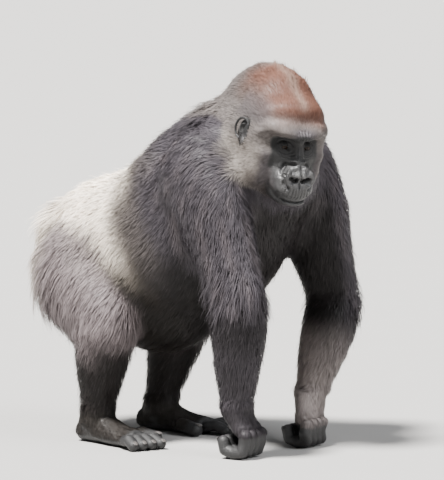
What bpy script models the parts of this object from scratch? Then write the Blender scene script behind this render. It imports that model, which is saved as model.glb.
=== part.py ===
"""A life-size silverback gorilla standing on its knuckles, as a still museum model.

Muscle masses are lofted and placed on a posed skeleton, fused into one body by voxel
remeshing, thinned out, and then parted with narrow cuts into the pieces a person would name.
Frame: metres, +Z up, the animal faces -Y, its left is +X. Origin: the middle of its footprint.
"""

import math

import bmesh
import bpy
import numpy as np
from mathutils import Euler, Matrix, Vector

# ---- Driving dimensions, in metres -------------------------------------------------------
UPPER_ARM_GIRTH = 0.088        # radius of the upper arm at its middle, coat included
FOREARM_GIRTH = 0.079
THIGH_GIRTH = 0.125
SHANK_GIRTH = 0.078
FINGER_RADIUS = 0.0185
TOE_RADIUS = 0.0165
EYE_RADIUS = 0.0145
EYE_OUT = 0.036                # from the middle of the face to each eye
EYE_AHEAD = 0.0925
EYE_UP = 0.0
BODY_TRIANGLES = 4440
EAR_TRIANGLES = 145
DETAIL_FACTOR = 0.09
FLOOR_LEVEL = 0.002            # where the soles and finger backs are flattened
SLIVER = 1e-6                  # shells smaller than this, in cubic metres, are dropped
CUT_WIDTH = 0.0006             # the gap of a parting cut
BODY_VOXEL = 0.009
SKIN_VOXEL = 0.0055
BODY_SMOOTHING = 14
SKIN_SMOOTHING = 3
RING_SIDES = 28

# ---- Colours and roughness of the pieces, by the first word of their names ----------------
LOOKS = {
    "head": ((0.110, 0.070, 0.052), 0.75),
    "neck": ((0.130, 0.115, 0.108), 0.80),
    "ear": ((0.030, 0.026, 0.027), 0.55),
    "eye": ((0.050, 0.022, 0.010), 0.12),
    "chest": ((0.058, 0.050, 0.052), 0.80),
    "abdomen": ((0.115, 0.098, 0.090), 0.80),
    "pelvis": ((0.300, 0.280, 0.250), 0.80),
    "upper": ((0.060, 0.052, 0.056), 0.80),
    "forearm": ((0.042, 0.036, 0.038), 0.80),
    "hand": ((0.022, 0.020, 0.021), 0.60),
    "thigh": ((0.150, 0.132, 0.130), 0.80),
    "shank": ((0.040, 0.032, 0.030), 0.80),
    "foot": ((0.022, 0.020, 0.021), 0.60),
}

# ---- The posed skeleton -------------------------------------------------------------------
RIGHT, LEFT = -1, 1
SIDE_NAMES = {RIGHT: "right", LEFT: "left"}
HIP = {RIGHT: Vector((-0.115, 0.312, 0.525)), LEFT: Vector((0.115, 0.312, 0.525))}
KNEE = {RIGHT: Vector((-0.215, 0.145, 0.345)), LEFT: Vector((0.206, 0.155, 0.342))}
ANKLE = {RIGHT: Vector((-0.180, 0.220, 0.095)), LEFT: Vector((0.128, 0.205, 0.095))}
TOES = {RIGHT: Vector((-0.225, 0.015, 0.018)), LEFT: Vector((0.150, 0.000, 0.018))}
SHOULDER = {RIGHT: Vector((-0.195, -0.168, 0.785)), LEFT: Vector((0.190, -0.250, 0.785))}
ELBOW = {RIGHT: Vector((-0.250, -0.322, 0.455)), LEFT: Vector((0.285, -0.318, 0.405))}
WRIST = {RIGHT: Vector((-0.225, -0.295, 0.150)), LEFT: Vector((0.130, -0.325, 0.155))}
KNUCKLES = {RIGHT: Vector((-0.215, -0.305, 0.03)), LEFT: Vector((0.075, -0.340, 0.03))}
HEAD_PLACE = Vector((-0.092, -0.356, 0.912))
HEAD_TURN = Euler((math.radians(15), math.radians(4), math.radians(-30)))


# ---- Shape helpers ------------------------------------------------------------------------
def clear_scene():
    for obj in list(bpy.data.objects):
        bpy.data.objects.remove(obj)


def new_object(name, mesh):
    obj = bpy.data.objects.new(name, mesh)
    bpy.context.scene.collection.objects.link(obj)
    return obj


def spline(values, t):
    """Catmull-Rom value at t, from 0 to 1, along a list of vectors or numbers."""
    last = len(values) - 1
    place = min(t * last, last - 1e-9)
    i = int(place)
    u = place - i
    before, start = values[max(i - 1, 0)], values[i]
    end, after = values[i + 1], values[min(i + 2, last)]
    return (
        start * 2.0
        + (end - before) * u
        + (before * 2.0 - start * 5.0 + end * 4.0 - after) * (u * u)
        + (start * 3.0 - before - end * 3.0 + after) * (u * u * u)
    ) * 0.5


def loft(bm, sections, side=(1, 0, 0), steps=6, place=None, sides=RING_SIDES):
    """Adds a closed round-ended solid through (centre, half width, half depth) sections.

    `side` is the direction of the widths; `place` is a matrix applied to the result.
    """
    place = place or Matrix.Identity(4)
    centres = [Vector(s[0]) for s in sections]
    widths = [s[1] for s in sections]
    depths = [s[2] for s in sections]
    count = steps * (len(sections) - 1)
    rings = []
    for i in range(count + 1):
        t = i / count
        centre = spline(centres, t)
        ahead = spline(centres, min(t + 0.01, 1)) - spline(centres, max(t - 0.01, 0))
        rings.append((centre, ahead.normalized(), spline(widths, t), spline(depths, t)))

    def dome(ring, outward):
        centre, ahead, width, depth = ring
        reach = min(width, depth)
        angles = [math.radians(a) for a in (72, 48, 24)]
        made = [
            (
                centre + ahead * outward * reach * math.sin(a),
                ahead,
                width * math.cos(a),
                depth * math.cos(a),
            )
            for a in angles
        ]
        return made if outward < 0 else made[::-1]

    rings = dome(rings[0], -1) + rings + dome(rings[-1], 1)
    loops = []
    for centre, ahead, width, depth in rings:
        across = Vector(side)
        across = (across - ahead * across.dot(ahead)).normalized()
        deep = ahead.cross(across)
        loop = []
        for k in range(sides):
            a = 2 * math.pi * k / sides
            point = centre + across * width * math.cos(a) + deep * depth * math.sin(a)
            loop.append(bm.verts.new(place @ point))
        loops.append(loop)
    for first, second in zip(loops, loops[1:]):
        for k in range(sides):
            n = (k + 1) % sides
            bm.faces.new((first[k], first[n], second[n], second[k]))
    bm.faces.new(loops[0][::-1])
    bm.faces.new(loops[-1])


def ball(bm, centre, radii, turn=(0, 0, 0), place=None):
    """Adds an ellipsoid with these radii, turned by these degrees."""
    place = place or Matrix.Identity(4)
    spin = Euler([math.radians(a) for a in turn]).to_matrix().to_4x4()
    matrix = place @ Matrix.Translation(centre) @ spin @ Matrix.Diagonal((*radii, 1))
    bmesh.ops.create_icosphere(bm, subdivisions=3, radius=1, matrix=matrix)


def both_sides(point):
    return [Vector((side * point[0], point[1], point[2])) for side in (RIGHT, LEFT)]


def apply_modifiers(obj):
    """Bakes the object's modifiers into its mesh."""
    bpy.context.view_layer.update()
    graph = bpy.context.evaluated_depsgraph_get()
    mesh = bpy.data.meshes.new_from_object(obj.evaluated_get(graph))
    obj.modifiers.clear()
    obj.data = mesh
    return obj


def fuse(obj, voxel, smoothing):
    """Makes overlapping masses one skin: a voxel remesh, then smoothing of the joins."""
    remesh = obj.modifiers.new("fuse", "REMESH")
    remesh.mode = "VOXEL"
    remesh.voxel_size = voxel
    smooth = obj.modifiers.new("blend", "SMOOTH")
    smooth.factor = 0.6
    smooth.iterations = smoothing
    return apply_modifiers(obj)


def object_from(bm, name):
    bmesh.ops.recalc_face_normals(bm, faces=bm.faces)
    mesh = bpy.data.meshes.new(name)
    bm.to_mesh(mesh)
    bm.free()
    return new_object(name, mesh)


# ---- The body's masses --------------------------------------------------------------------
def add_trunk(bm):
    """Barrel chest, hanging belly and rounded rump, lofted along the spine."""
    loft(
        bm,
        [
            ((0, 0.396, 0.578), 0.145, 0.142),
            ((0, 0.350, 0.582), 0.190, 0.182),
            ((0, 0.265, 0.582), 0.222, 0.212),
            ((0, 0.120, 0.580), 0.250, 0.255),
            ((0, -0.010, 0.630), 0.255, 0.275),
            ((0, -0.130, 0.718), 0.240, 0.238),
            ((0, -0.230, 0.790), 0.180, 0.178),
        ],
    )
    ball(bm, (0, 0.11, 0.50), (0.205, 0.25, 0.245))
    ball(bm, (0, -0.03, 0.82), (0.150, 0.20, 0.10), (-28, 0, 0))
    for centre in both_sides((0.125, 0.01, 0.750)):
        ball(bm, centre, (0.12, 0.18, 0.125), (-25, 0, 0))
    for centre in both_sides((0.108, 0.350, 0.492)):
        ball(bm, centre, (0.120, 0.132, 0.165))
    for centre in both_sides((0.095, -0.255, 0.735)):
        ball(bm, centre, (0.10, 0.075, 0.10))


def add_neck(bm):
    """The broad muscles from the back of the skull down to the shoulders."""
    loft(
        bm,
        [
            ((0, -0.02, 0.79), 0.20, 0.16),
            ((-0.02, -0.14, 0.855), 0.175, 0.160),
            ((-0.05, -0.23, 0.905), 0.135, 0.145),
            ((-0.08, -0.31, 0.945), 0.105, 0.125),
        ],
    )
    for side in (RIGHT, LEFT):
        loft(
            bm,
            [
                (Vector((side * 0.18, -0.12, 0.82)), 0.080, 0.080),
                (Vector((side * 0.10 - 0.03, -0.19, 0.88)), 0.075, 0.08),
                (Vector((side * 0.05 - 0.06, -0.26, 0.93)), 0.075, 0.09),
            ],
            side=(0, 1, 0),
        )


def add_arm(bm, side):
    shoulder, elbow, wrist = SHOULDER[side], ELBOW[side], WRIST[side]
    out = Vector((side, 0, 0))
    back = Vector((0, 1, 0))
    girth = UPPER_ARM_GIRTH
    loft(
        bm,
        [
            (shoulder + Vector((0, 0.02, 0.05)), girth * 1.15, girth * 1.35),
            (shoulder.lerp(elbow, 0.25) + out * 0.01, girth * 1.16, girth * 1.36),
            (shoulder.lerp(elbow, 0.6), girth * 0.98, girth * 1.16),
            (elbow.lerp(shoulder, 0.1), girth * 0.84, girth * 0.98),
            (elbow, girth * 0.78, girth * 0.92),
        ],
    )
    ball(bm, shoulder + out * 0.012 + back * 0.015, (0.105, 0.125, 0.125))
    ball(bm, elbow + back * 0.045 + Vector((0, 0, 0.015)), (0.05, 0.05, 0.055))
    girth = FOREARM_GIRTH
    loft(
        bm,
        [
            (elbow + Vector((0, 0, 0.02)), girth * 0.92, girth * 1.0),
            (elbow.lerp(wrist, 0.25), girth * 1.08, girth * 1.12),
            (elbow.lerp(wrist, 0.6), girth * 0.94, girth * 0.95),
            (wrist.lerp(elbow, 0.12), girth * 0.70, girth * 0.74),
            (wrist, girth * 0.62, girth * 0.62),
        ],
    )


def add_leg(bm, side):
    hip, knee, ankle = HIP[side], KNEE[side], ANKLE[side]
    back = Vector((0, 1, 0))
    girth = THIGH_GIRTH
    loft(
        bm,
        [
            (hip + back * 0.03, girth * 1.0, girth * 1.16),
            (hip.lerp(knee, 0.45) + back * 0.03, girth * 0.98, girth * 1.17),
            (knee.lerp(hip, 0.12), girth * 0.78, girth * 0.84),
            (knee + Vector((0, 0, -0.015)), girth * 0.64, girth * 0.66),
        ],
    )
    girth = SHANK_GIRTH
    loft(
        bm,
        [
            (knee + Vector((0, 0.01, 0)), girth * 0.95, girth * 1.05),
            (knee.lerp(ankle, 0.35) + back * 0.015, girth * 0.98, girth * 1.15),
            (knee.lerp(ankle, 0.75) + back * 0.005, girth * 0.78, girth * 0.86),
            (ankle, girth * 0.66, girth * 0.72),
        ],
    )


def add_digit(bm, points, radius):
    loft(bm, [(p, radius, radius) for p in points], side=(0.3, 0.2, 1), steps=4)


def add_hand(bm, side):
    """A loose fist on the backs of the middle finger bones, thumb hanging beside it."""
    wrist, knuckles = WRIST[side], KNUCKLES[side]
    down = (knuckles - wrist).normalized()
    across = Vector((1, 0, 0))
    forward = Vector((0, -1, 0))
    palm_end = knuckles + Vector((0, -0.012, 0.062))
    loft(
        bm,
        [
            (wrist, 0.052, 0.046),
            (wrist.lerp(palm_end, 0.55), 0.054, 0.036),
            (palm_end, 0.052, 0.031),
        ],
    )
    for i in range(4):
        offset = across * (i - 1.5) * 0.027 * side
        reach = 1 - 0.06 * abs(i - 1.3)
        root = palm_end + offset
        add_digit(
            bm,
            [
                root + forward * 0.004,
                root + forward * 0.026 * reach + down * 0.022,
                root + forward * 0.020 * reach + down * 0.050,
            ],
            FINGER_RADIUS,
        )
        low = Vector((root.x, root.y, FINGER_RADIUS - 0.0005))
        add_digit(
            bm,
            [
                low + forward * 0.016 + Vector((0, 0, 0.008)),
                low + Vector((0, 0.012, 0)),
                low + Vector((0, 0.040, 0.008)),
                low + Vector((0, 0.046, 0.032)),
            ],
            FINGER_RADIUS * 0.95,
        )
    thumb = wrist - across * side * 0.044 + Vector((0, 0.004, -0.025))
    add_digit(
        bm,
        [
            thumb,
            thumb + Vector((-side * 0.012, -0.004, -0.035)),
            thumb + Vector((-side * 0.008, -0.002, -0.068)),
        ],
        FINGER_RADIUS * 0.8,
    )


def add_foot(bm, side):
    """A flat sole with four toes forward and the big toe spread inward."""
    ankle, toes = ANKLE[side], TOES[side]
    ahead = Vector((toes.x - ankle.x, toes.y - ankle.y, 0)).normalized()
    across = Vector((-ahead.y, ahead.x, 0)) * -side
    heel = Vector((ankle.x, ankle.y, 0.037)) - ahead * 0.045
    ball_of_foot = Vector((toes.x, toes.y, 0.026)) - ahead * 0.055
    loft(
        bm,
        [
            (heel, 0.038, 0.036),
            (heel.lerp(ball_of_foot, 0.35) + Vector((0, 0, 0.012)), 0.043, 0.044),
            (heel.lerp(ball_of_foot, 0.7) + Vector((0, 0, 0.002)), 0.050, 0.032),
            (ball_of_foot, 0.052, 0.0255),
        ],
        side=across,
    )
    ball(bm, ankle - Vector((0, 0, 0.025)), (0.052, 0.058, 0.055))
    for i in range(4):
        root = ball_of_foot - across * (i - 1.1) * 0.026 + ahead * 0.010
        length = 0.075 - 0.007 * i
        fan = ahead - across * 0.07 * i
        add_digit(
            bm,
            [
                root,
                root + fan * length * 0.55 + Vector((0, 0, 0.004)),
                Vector((root.x, root.y, TOE_RADIUS)) + fan * length,
            ],
            TOE_RADIUS,
        )
    big = heel.lerp(ball_of_foot, 0.62) + across * 0.035
    add_digit(
        bm,
        [
            big,
            big + ahead * 0.035 + across * 0.035 + Vector((0, 0, 0.0)),
            Vector((big.x, big.y, TOE_RADIUS * 1.25)) + ahead * 0.085 + across * 0.045,
        ],
        TOE_RADIUS * 1.25,
    )


# ---- The head -----------------------------------------------------------------------------
def head_matrix():
    return Matrix.Translation(HEAD_PLACE) @ HEAD_TURN.to_matrix().to_4x4()


def at(forward, up, out=0.0):
    """A place in the head: ahead of and above the ear line, and out to the left."""
    return Vector((out, -forward, up))


def add_skull(bm, place):
    ball(bm, at(-0.020, 0.055), (0.122, 0.125, 0.098), place=place)
    ball(bm, at(-0.118, 0.084), (0.102, 0.105, 0.104), place=place)
    ball(bm, at(-0.160, 0.052), (0.112, 0.088, 0.112), place=place)
    ball(bm, at(-0.045, 0.098), (0.104, 0.095, 0.084), place=place)
    ball(bm, at(0.032, 0.068), (0.112, 0.094, 0.062), (-26, 0, 0), place=place)


def add_face(bm, place):
    for side in (RIGHT, LEFT):
        ball(bm, at(-0.010, -0.005, side * 0.078), (0.049, 0.100, 0.098), place=place)
        ball(bm, at(0.020, -0.070, side * 0.072), (0.049, 0.080, 0.074), place=place)
    loft(
        bm,
        [
            (at(0.070, 0.034, -0.103), 0.016, 0.020),
            (at(0.108, 0.046, -0.066), 0.018, 0.022),
            (at(0.127, 0.044, -0.028), 0.016, 0.019),
            (at(0.129, 0.040, 0.0), 0.014, 0.018),
            (at(0.127, 0.044, 0.028), 0.016, 0.019),
            (at(0.108, 0.046, 0.066), 0.018, 0.022),
            (at(0.070, 0.034, 0.103), 0.016, 0.020),
        ],
        side=(0, 0, 1),
        place=place,
    )
    ball(bm, at(0.068, -0.030), (0.090, 0.055, 0.070), place=place)
    for side in (RIGHT, LEFT):
        ball(bm, at(0.070, -0.028, side * 0.074), (0.038, 0.034, 0.030), place=place)
        ball(bm, at(0.148, -0.074, side * 0.030), (0.024, 0.020, 0.020), place=place)
    loft(
        bm,
        [
            (at(0.100, 0.020), 0.018, 0.025),
            (at(0.118, -0.025), 0.020, 0.022),
            (at(0.143, -0.062), 0.026, 0.020),
        ],
        place=place,
    )
    ball(bm, at(0.156, -0.070), (0.020, 0.018, 0.018), place=place)
    loft(
        bm,
        [
            (at(0.060, -0.070), 0.080, 0.062),
            (at(0.105, -0.092), 0.071, 0.052),
            (at(0.133, -0.112), 0.060, 0.038),
        ],
        place=place,
    )
    ball(bm, at(0.118, -0.149), (0.046, 0.042, 0.024), place=place)
    ball(bm, at(0.070, -0.128), (0.062, 0.075, 0.042), place=place)


def press(body, place, centre, radii, push):
    """Moves the skin near a place in the head by `push`, fading out over `radii`."""
    mesh = body.data
    count = len(mesh.vertices)
    spots = np.empty(count * 3)
    mesh.vertices.foreach_get("co", spots)
    spots = spots.reshape(-1, 3)
    turn = np.array(place.to_3x3())
    local = (spots - np.array(place.translation)) @ turn
    reach = (((local - np.array(centre)) / np.array(radii)) ** 2).sum(axis=1)
    spots += np.exp(-reach)[:, None] * (turn @ np.array(push))
    mesh.vertices.foreach_set("co", spots.ravel())


def carve_face(body, place):
    """Eye hollows, nostrils, the closed mouth and the groove between the nose wings."""
    for side in (RIGHT, LEFT):
        press(body, place, at(0.112, 0.000, side * EYE_OUT), (0.024, 0.04, 0.015), at(-0.012, 0))
        nostril = at(0.165, -0.082, side * 0.017)
        press(body, place, nostril, (0.011, 0.03, 0.009), at(-0.013, 0.003, side * -0.003))
        press(body, place, at(0.10, -0.05, side * 0.062), (0.018, 0.03, 0.03), at(-0.006, 0))
    press(body, place, at(0.17, -0.072), (0.006, 0.03, 0.022), at(-0.006, 0))
    for i in range(-6, 7):
        out = i * 0.0095
        lip = at(0.168 - 9.5 * out * out, -0.142 + 5.5 * out * out, out)
        press(body, place, lip, (0.008, 0.030, 0.0055), at(-0.007, 0))


# ---- Ears and eyes ------------------------------------------------------------------------
def make_eye(side, place):
    """The eyeball and the hollow cut for it, one layer of air apart."""
    made = []
    for name, radius in (("eye_", EYE_RADIUS), ("socket_", EYE_RADIUS + CUT_WIDTH)):
        bm = bmesh.new()
        spin = Matrix.Rotation(math.radians(90), 4, "X")
        centre = Matrix.Translation(at(EYE_AHEAD, EYE_UP, side * EYE_OUT))
        bmesh.ops.create_uvsphere(
            bm, u_segments=10, v_segments=7, radius=radius, matrix=place @ centre @ spin
        )
        made.append(object_from(bm, name + SIDE_NAMES[side]))
    return made


def make_ear(side, place):
    """A small cupped ear: a thick curled rim round a shallow shell."""
    bm = bmesh.new()
    root = at(0.012, 0.014, side * 0.120)
    rim = []
    for i in range(9):
        a = math.radians(-78 + i * 31)
        back = 0.004 + 0.019 * math.cos(a)
        rim.append(
            (
                root + at(-back, 0.006 + 0.037 * math.sin(a), side * (0.006 + back * 0.72)),
                0.0062,
                0.0056,
            )
        )
    loft(bm, rim, side=(1, 0, 0), steps=2, place=place)
    tilt = (0, 0, side * -36)
    ball(bm, root + at(-0.010, 0.002, side * 0.007), (0.0065, 0.022, 0.034), tilt, place)
    ball(bm, root + at(-0.006, -0.031, side * 0.010), (0.009, 0.011, 0.013), place=place)
    ball(bm, root + at(0.012, -0.006, side * 0.004), (0.008, 0.006, 0.011), place=place)
    ear = fuse(object_from(bm, "ear_" + SIDE_NAMES[side]), 0.0022, 3)
    return thin_out(ear, EAR_TRIANGLES)


# ---- Thinning out and parting -------------------------------------------------------------
def triangles(obj):
    return sum(len(p.vertices) - 2 for p in obj.data.polygons)


def thin_out(obj, wanted, weights=None):
    """Collapses the mesh to about this many triangles, keeping low-weight places finer."""
    group = None
    if weights is not None:
        group = obj.vertex_groups.new(name="coarse")
        for level in np.unique(weights):
            group.add(np.nonzero(weights == level)[0].tolist(), float(level), "REPLACE")
    decimate = obj.modifiers.new("thin_out", "DECIMATE")
    decimate.ratio = wanted / triangles(obj)
    decimate.use_collapse_triangulate = True
    if group:
        decimate.vertex_group = group.name
        decimate.vertex_group_factor = DETAIL_FACTOR
    apply_modifiers(obj)
    obj.vertex_groups.clear()
    return obj


def detail_weights(body, place):
    """1 on the trunk and limbs, less where the face, hands and feet need small facets."""
    spots = np.array([v.co for v in body.data.vertices])
    weights = np.ones(len(spots))
    local = (spots - np.array(place.translation)) @ np.array(place.to_3x3())
    in_head = (local[:, 1] < 0.10) & (np.linalg.norm(local, axis=1) < 0.26) & (local[:, 2] > -0.2)
    weights[in_head] = 0.5
    in_face = (local[:, 1] < -0.055) & (np.abs(local[:, 0]) < 0.09) & (np.abs(local[:, 2]) < 0.185)
    weights[in_head & in_face] = 0.15
    groin = {side: KNEE[side] + Vector((side * -0.11, 0.02, -0.04)) for side in (RIGHT, LEFT)}
    for places, reach in ((KNUCKLES, 0.14), (TOES, 0.15), (groin, 0.075)):
        for side in (RIGHT, LEFT):
            near = np.linalg.norm(spots - np.array(places[side]), axis=1) < reach
            weights[near] = 0.3
    return weights


def boolean(obj, other, operation):
    change = obj.modifiers.new(operation.lower(), "BOOLEAN")
    change.operation = operation
    change.solver = "EXACT"
    change.object = other
    return apply_modifiers(obj)


def copy_of(obj, name):
    return new_object(name, obj.data.copy())


def take(body, region, name, remove=True):
    """Parts the piece of the body inside a region, leaving a cut's width all round it."""
    inner, outer = region(0.0), region(CUT_WIDTH)
    piece = boolean(copy_of(body, name), inner, "INTERSECT")
    boolean(body, outer, "DIFFERENCE")
    bpy.data.objects.remove(inner)
    bpy.data.objects.remove(outer)
    return piece


def limb_region(sections, sides=12):
    """A closed stack of level ellipses (centre, half x, half y), rounded in at its top."""

    def make(grow):
        top, half_x, half_y = sections[0]
        rise = half_x * 0.8
        rings = [
            (top + Vector((0, 0, rise * up)), half_x * size, half_y * size)
            for up, size in ((0.98, 0.25), (0.80, 0.62), (0.45, 0.90))
        ]
        bm = bmesh.new()
        loops = []
        for i, (centre, half_x, half_y) in enumerate(rings + sections):
            lift = (grow if i == 0 else 0) - (grow if i == len(rings + sections) - 1 else 0)
            loop = []
            for k in range(sides):
                a = 2 * math.pi * (k + 0.5) / sides
                x, y = (half_x + grow) * math.cos(a), (half_y + grow) * math.sin(a)
                loop.append(bm.verts.new(centre + Vector((x, y, lift))))
            loops.append(loop)
        for first, second in zip(loops, loops[1:]):
            for k in range(sides):
                n = (k + 1) % sides
                bm.faces.new((first[k], first[n], second[n]))
                bm.faces.new((first[k], second[n], second[k]))
        bm.faces.new(loops[0])
        bm.faces.new(loops[-1][::-1])
        return object_from(bm, "region")

    return make


def half_space(centre, normal):
    """A big block whose near face is half a cut's width from the centre."""
    bm = bmesh.new()
    bmesh.ops.create_cube(bm, size=1.6)
    turn = Vector(normal).to_track_quat("Z", "Y").to_matrix().to_4x4()
    away = Matrix.Translation((0, 0, 0.8 + CUT_WIDTH / 2))
    bm.transform(Matrix.Translation(centre) @ turn @ away)
    return object_from(bm, "half_space")


def loose_parts(obj):
    """The separate shells of a mesh as objects, smallest slivers left out."""
    bm = bmesh.new()
    bm.from_mesh(obj.data)
    bm.verts.ensure_lookup_table()
    shell = {}
    for vert in bm.verts:
        if vert.index in shell:
            continue
        members, queue = set(), [vert]
        while queue:
            v = queue.pop()
            if v.index in members:
                continue
            members.add(v.index)
            queue.extend(e.other_vert(v) for e in v.link_edges)
        for index in members:
            shell[index] = vert.index
    parts = []
    for key in sorted(set(shell.values())):
        part = bm.copy()
        part.verts.ensure_lookup_table()
        gone = [v for v in part.verts if shell[v.index] != key]
        bmesh.ops.delete(part, geom=gone, context="VERTS")
        if part.calc_volume() > SLIVER:
            parts.append(object_from(part, "shell"))
        else:
            part.free()
    bm.free()
    bpy.data.objects.remove(obj)
    return parts


def middle(obj):
    return sum((v.co for v in obj.data.vertices), Vector()) / len(obj.data.vertices)


def split(obj, centre, normal, ahead_name, behind_name):
    """Cuts across a piece; the side the normal points to gets the first name."""
    pieces = []
    for name, way in ((ahead_name, 1), (behind_name, -1)):
        block = half_space(Vector(centre), Vector(normal) * way)
        piece = boolean(copy_of(obj, name), block, "INTERSECT")
        bpy.data.objects.remove(block)
        pieces.append(max(loose_parts(piece), key=lambda part: len(part.data.vertices)))
        pieces[-1].name = name
    bpy.data.objects.remove(obj)
    return pieces


# ---- Assembly -----------------------------------------------------------------------------
def make_body(place):
    bm = bmesh.new()
    add_trunk(bm)
    add_neck(bm)
    add_skull(bm, place)
    for side in (RIGHT, LEFT):
        add_arm(bm, side)
        add_leg(bm, side)
    body = fuse(object_from(bm, "body"), BODY_VOXEL, BODY_SMOOTHING)
    bm = bmesh.new()
    bm.from_mesh(body.data)
    add_face(bm, place)
    for side in (RIGHT, LEFT):
        add_hand(bm, side)
        add_foot(bm, side)
    bpy.data.objects.remove(body)
    body = fuse(object_from(bm, "body"), SKIN_VOXEL, SKIN_SMOOTHING)
    carve_face(body, place)
    thin_out(body, BODY_TRIANGLES, detail_weights(body, place))
    bm = bmesh.new()
    bmesh.ops.create_cube(bm, size=2, matrix=Matrix.Translation((0, 0, FLOOR_LEVEL - 1)))
    floor = object_from(bm, "floor")
    boolean(body, floor, "DIFFERENCE")
    bpy.data.objects.remove(floor)
    return body


def arm_region(side):
    shoulder, elbow, wrist = SHOULDER[side], ELBOW[side], WRIST[side]
    out = Vector((side, 0, 0))
    back = Vector((0, 1, 0))
    return limb_region(
        [
            (shoulder + out * 0.035 + back * 0.025 + Vector((0, 0, 0.030)), 0.118, 0.145),
            (shoulder.lerp(elbow, 0.25) + out * 0.035, 0.122, 0.155),
            (shoulder.lerp(elbow, 0.6) + out * 0.025, 0.124, 0.155),
            (elbow + out * 0.010 + back * 0.02, 0.130, 0.150),
            (elbow.lerp(wrist, 0.5), 0.130, 0.130),
            (wrist + Vector((0, 0, 0.012)), 0.110, 0.110),
        ]
    )


def leg_region(side):
    hip, knee, ankle = HIP[side], KNEE[side], ANKLE[side]
    out = Vector((side, 0, 0))
    back = Vector((0, 1, 0))
    return limb_region(
        [
            (hip + out * 0.055 + back * 0.010 + Vector((0, 0, 0.035)), 0.120, 0.185),
            (hip.lerp(knee, 0.3) + out * 0.050 + back * 0.025, 0.128, 0.188),
            (hip.lerp(knee, 0.65) + out * 0.036 + back * 0.035, 0.128, 0.188),
            (knee + out * 0.020 + back * 0.050, 0.125, 0.165),
            (knee.lerp(ankle, 0.45) + out * 0.012 + back * 0.025, 0.120, 0.150),
            (ankle + Vector((0, 0, 0.010)), 0.100, 0.120),
        ]
    )


def part_the_body(body, place):
    """Cuts the one body into named pieces, a thin gap between neighbours."""
    pieces = []
    for side in (RIGHT, LEFT):
        name = SIDE_NAMES[side]
        arm = take(body, arm_region(side), "arm")
        along = WRIST[side] - SHOULDER[side]
        pieces += split(arm, ELBOW[side], along, "forearm_" + name, "upper_arm_" + name)
        leg = take(body, leg_region(side), "leg")
        along = (KNEE[side] - HIP[side]).normalized() + (ANKLE[side] - KNEE[side]).normalized()
        pieces += split(leg, KNEE[side], along, "shank_" + name, "thigh_" + name)
    rest = sorted(loose_parts(body), key=lambda part: len(part.data.vertices))
    trunk = max(rest, key=lambda part: middle(part).z)
    for part in rest:
        if part is trunk:
            continue
        spot = middle(part)
        side = LEFT if spot.x > -0.02 else RIGHT
        part.name = ("hand_" if spot.y < -0.2 else "foot_") + SIDE_NAMES[side]
        pieces.append(part)
    trunk, pelvis = split(trunk, (0, 0.235, 0.57), (0, -1, 0.15), "trunk", "pelvis")
    trunk, abdomen = split(trunk, (0, 0.0, 0.62), (0, -0.9, 0.43), "trunk", "abdomen")
    top, chest = split(trunk, (-0.035, -0.17, 0.86), (-0.1, -0.6, 0.8), "top", "chest")
    jaw_line = place @ at(-0.12, -0.065)
    head, neck = split(top, jaw_line, place.to_3x3() @ at(0.64, 0.77), "head", "neck")
    return {piece.name: piece for piece in pieces + [head, neck, chest, abdomen, pelvis]}


def add_eyes(pieces, place):
    for side in (RIGHT, LEFT):
        eye, socket = make_eye(side, place)
        boolean(pieces["head"], socket, "DIFFERENCE")
        bpy.data.objects.remove(socket)
        pieces[eye.name] = eye


def add_ears(pieces, place):
    """Each ear is trimmed to the head's own surface and moved out by the gap."""
    for side in (RIGHT, LEFT):
        ear = make_ear(side, place)
        for name in ("head", "neck", "upper_arm_" + SIDE_NAMES[side]):
            boolean(ear, pieces[name], "DIFFERENCE")
        parts = loose_parts(ear)
        parts.sort(key=lambda part: side * (place.inverted() @ middle(part)).x)
        for spare in parts[:-1]:
            bpy.data.objects.remove(spare)
        ear = parts[-1]
        ear.name = "ear_" + SIDE_NAMES[side]
        ear.data.transform(Matrix.Translation(place.to_3x3() @ at(0, 0, side * CUT_WIDTH)))
        pieces[ear.name] = ear


def finish(pieces):
    """Stands everything on the floor over the origin and gives each piece its material."""
    spots = [v.co for piece in pieces.values() for v in piece.data.vertices]
    low = Vector([min(p[i] for p in spots) for i in range(3)])
    high = Vector([max(p[i] for p in spots) for i in range(3)])
    shift = Matrix.Translation((-(low.x + high.x) / 2, -(low.y + high.y) / 2, -low.z))
    for name, piece in pieces.items():
        piece.name = name
        piece.data.name = name
        piece.data.transform(shift)
        colour, roughness = LOOKS[name.split("_")[0]]
        material = bpy.data.materials.new(name)
        material.use_nodes = True
        shader = material.node_tree.nodes["Principled BSDF"]
        shader.inputs["Base Color"].default_value = (*colour, 1.0)
        shader.inputs["Roughness"].default_value = roughness
        piece.data.materials.clear()
        piece.data.materials.append(material)
        for face in piece.data.polygons:
            face.material_index = 0


def main():
    clear_scene()
    place = head_matrix()
    pieces = part_the_body(make_body(place), place)
    add_eyes(pieces, place)
    add_ears(pieces, place)
    finish(pieces)


main()
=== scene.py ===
"""A life-size gorilla standing on its knuckles, the still model that a museum shows.

One skin stands for every node of flesh. Over it lies the coat, in thin solid tufts that follow
the lie of the hair. The eyes and the nails are pieces of their own.
"""

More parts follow.
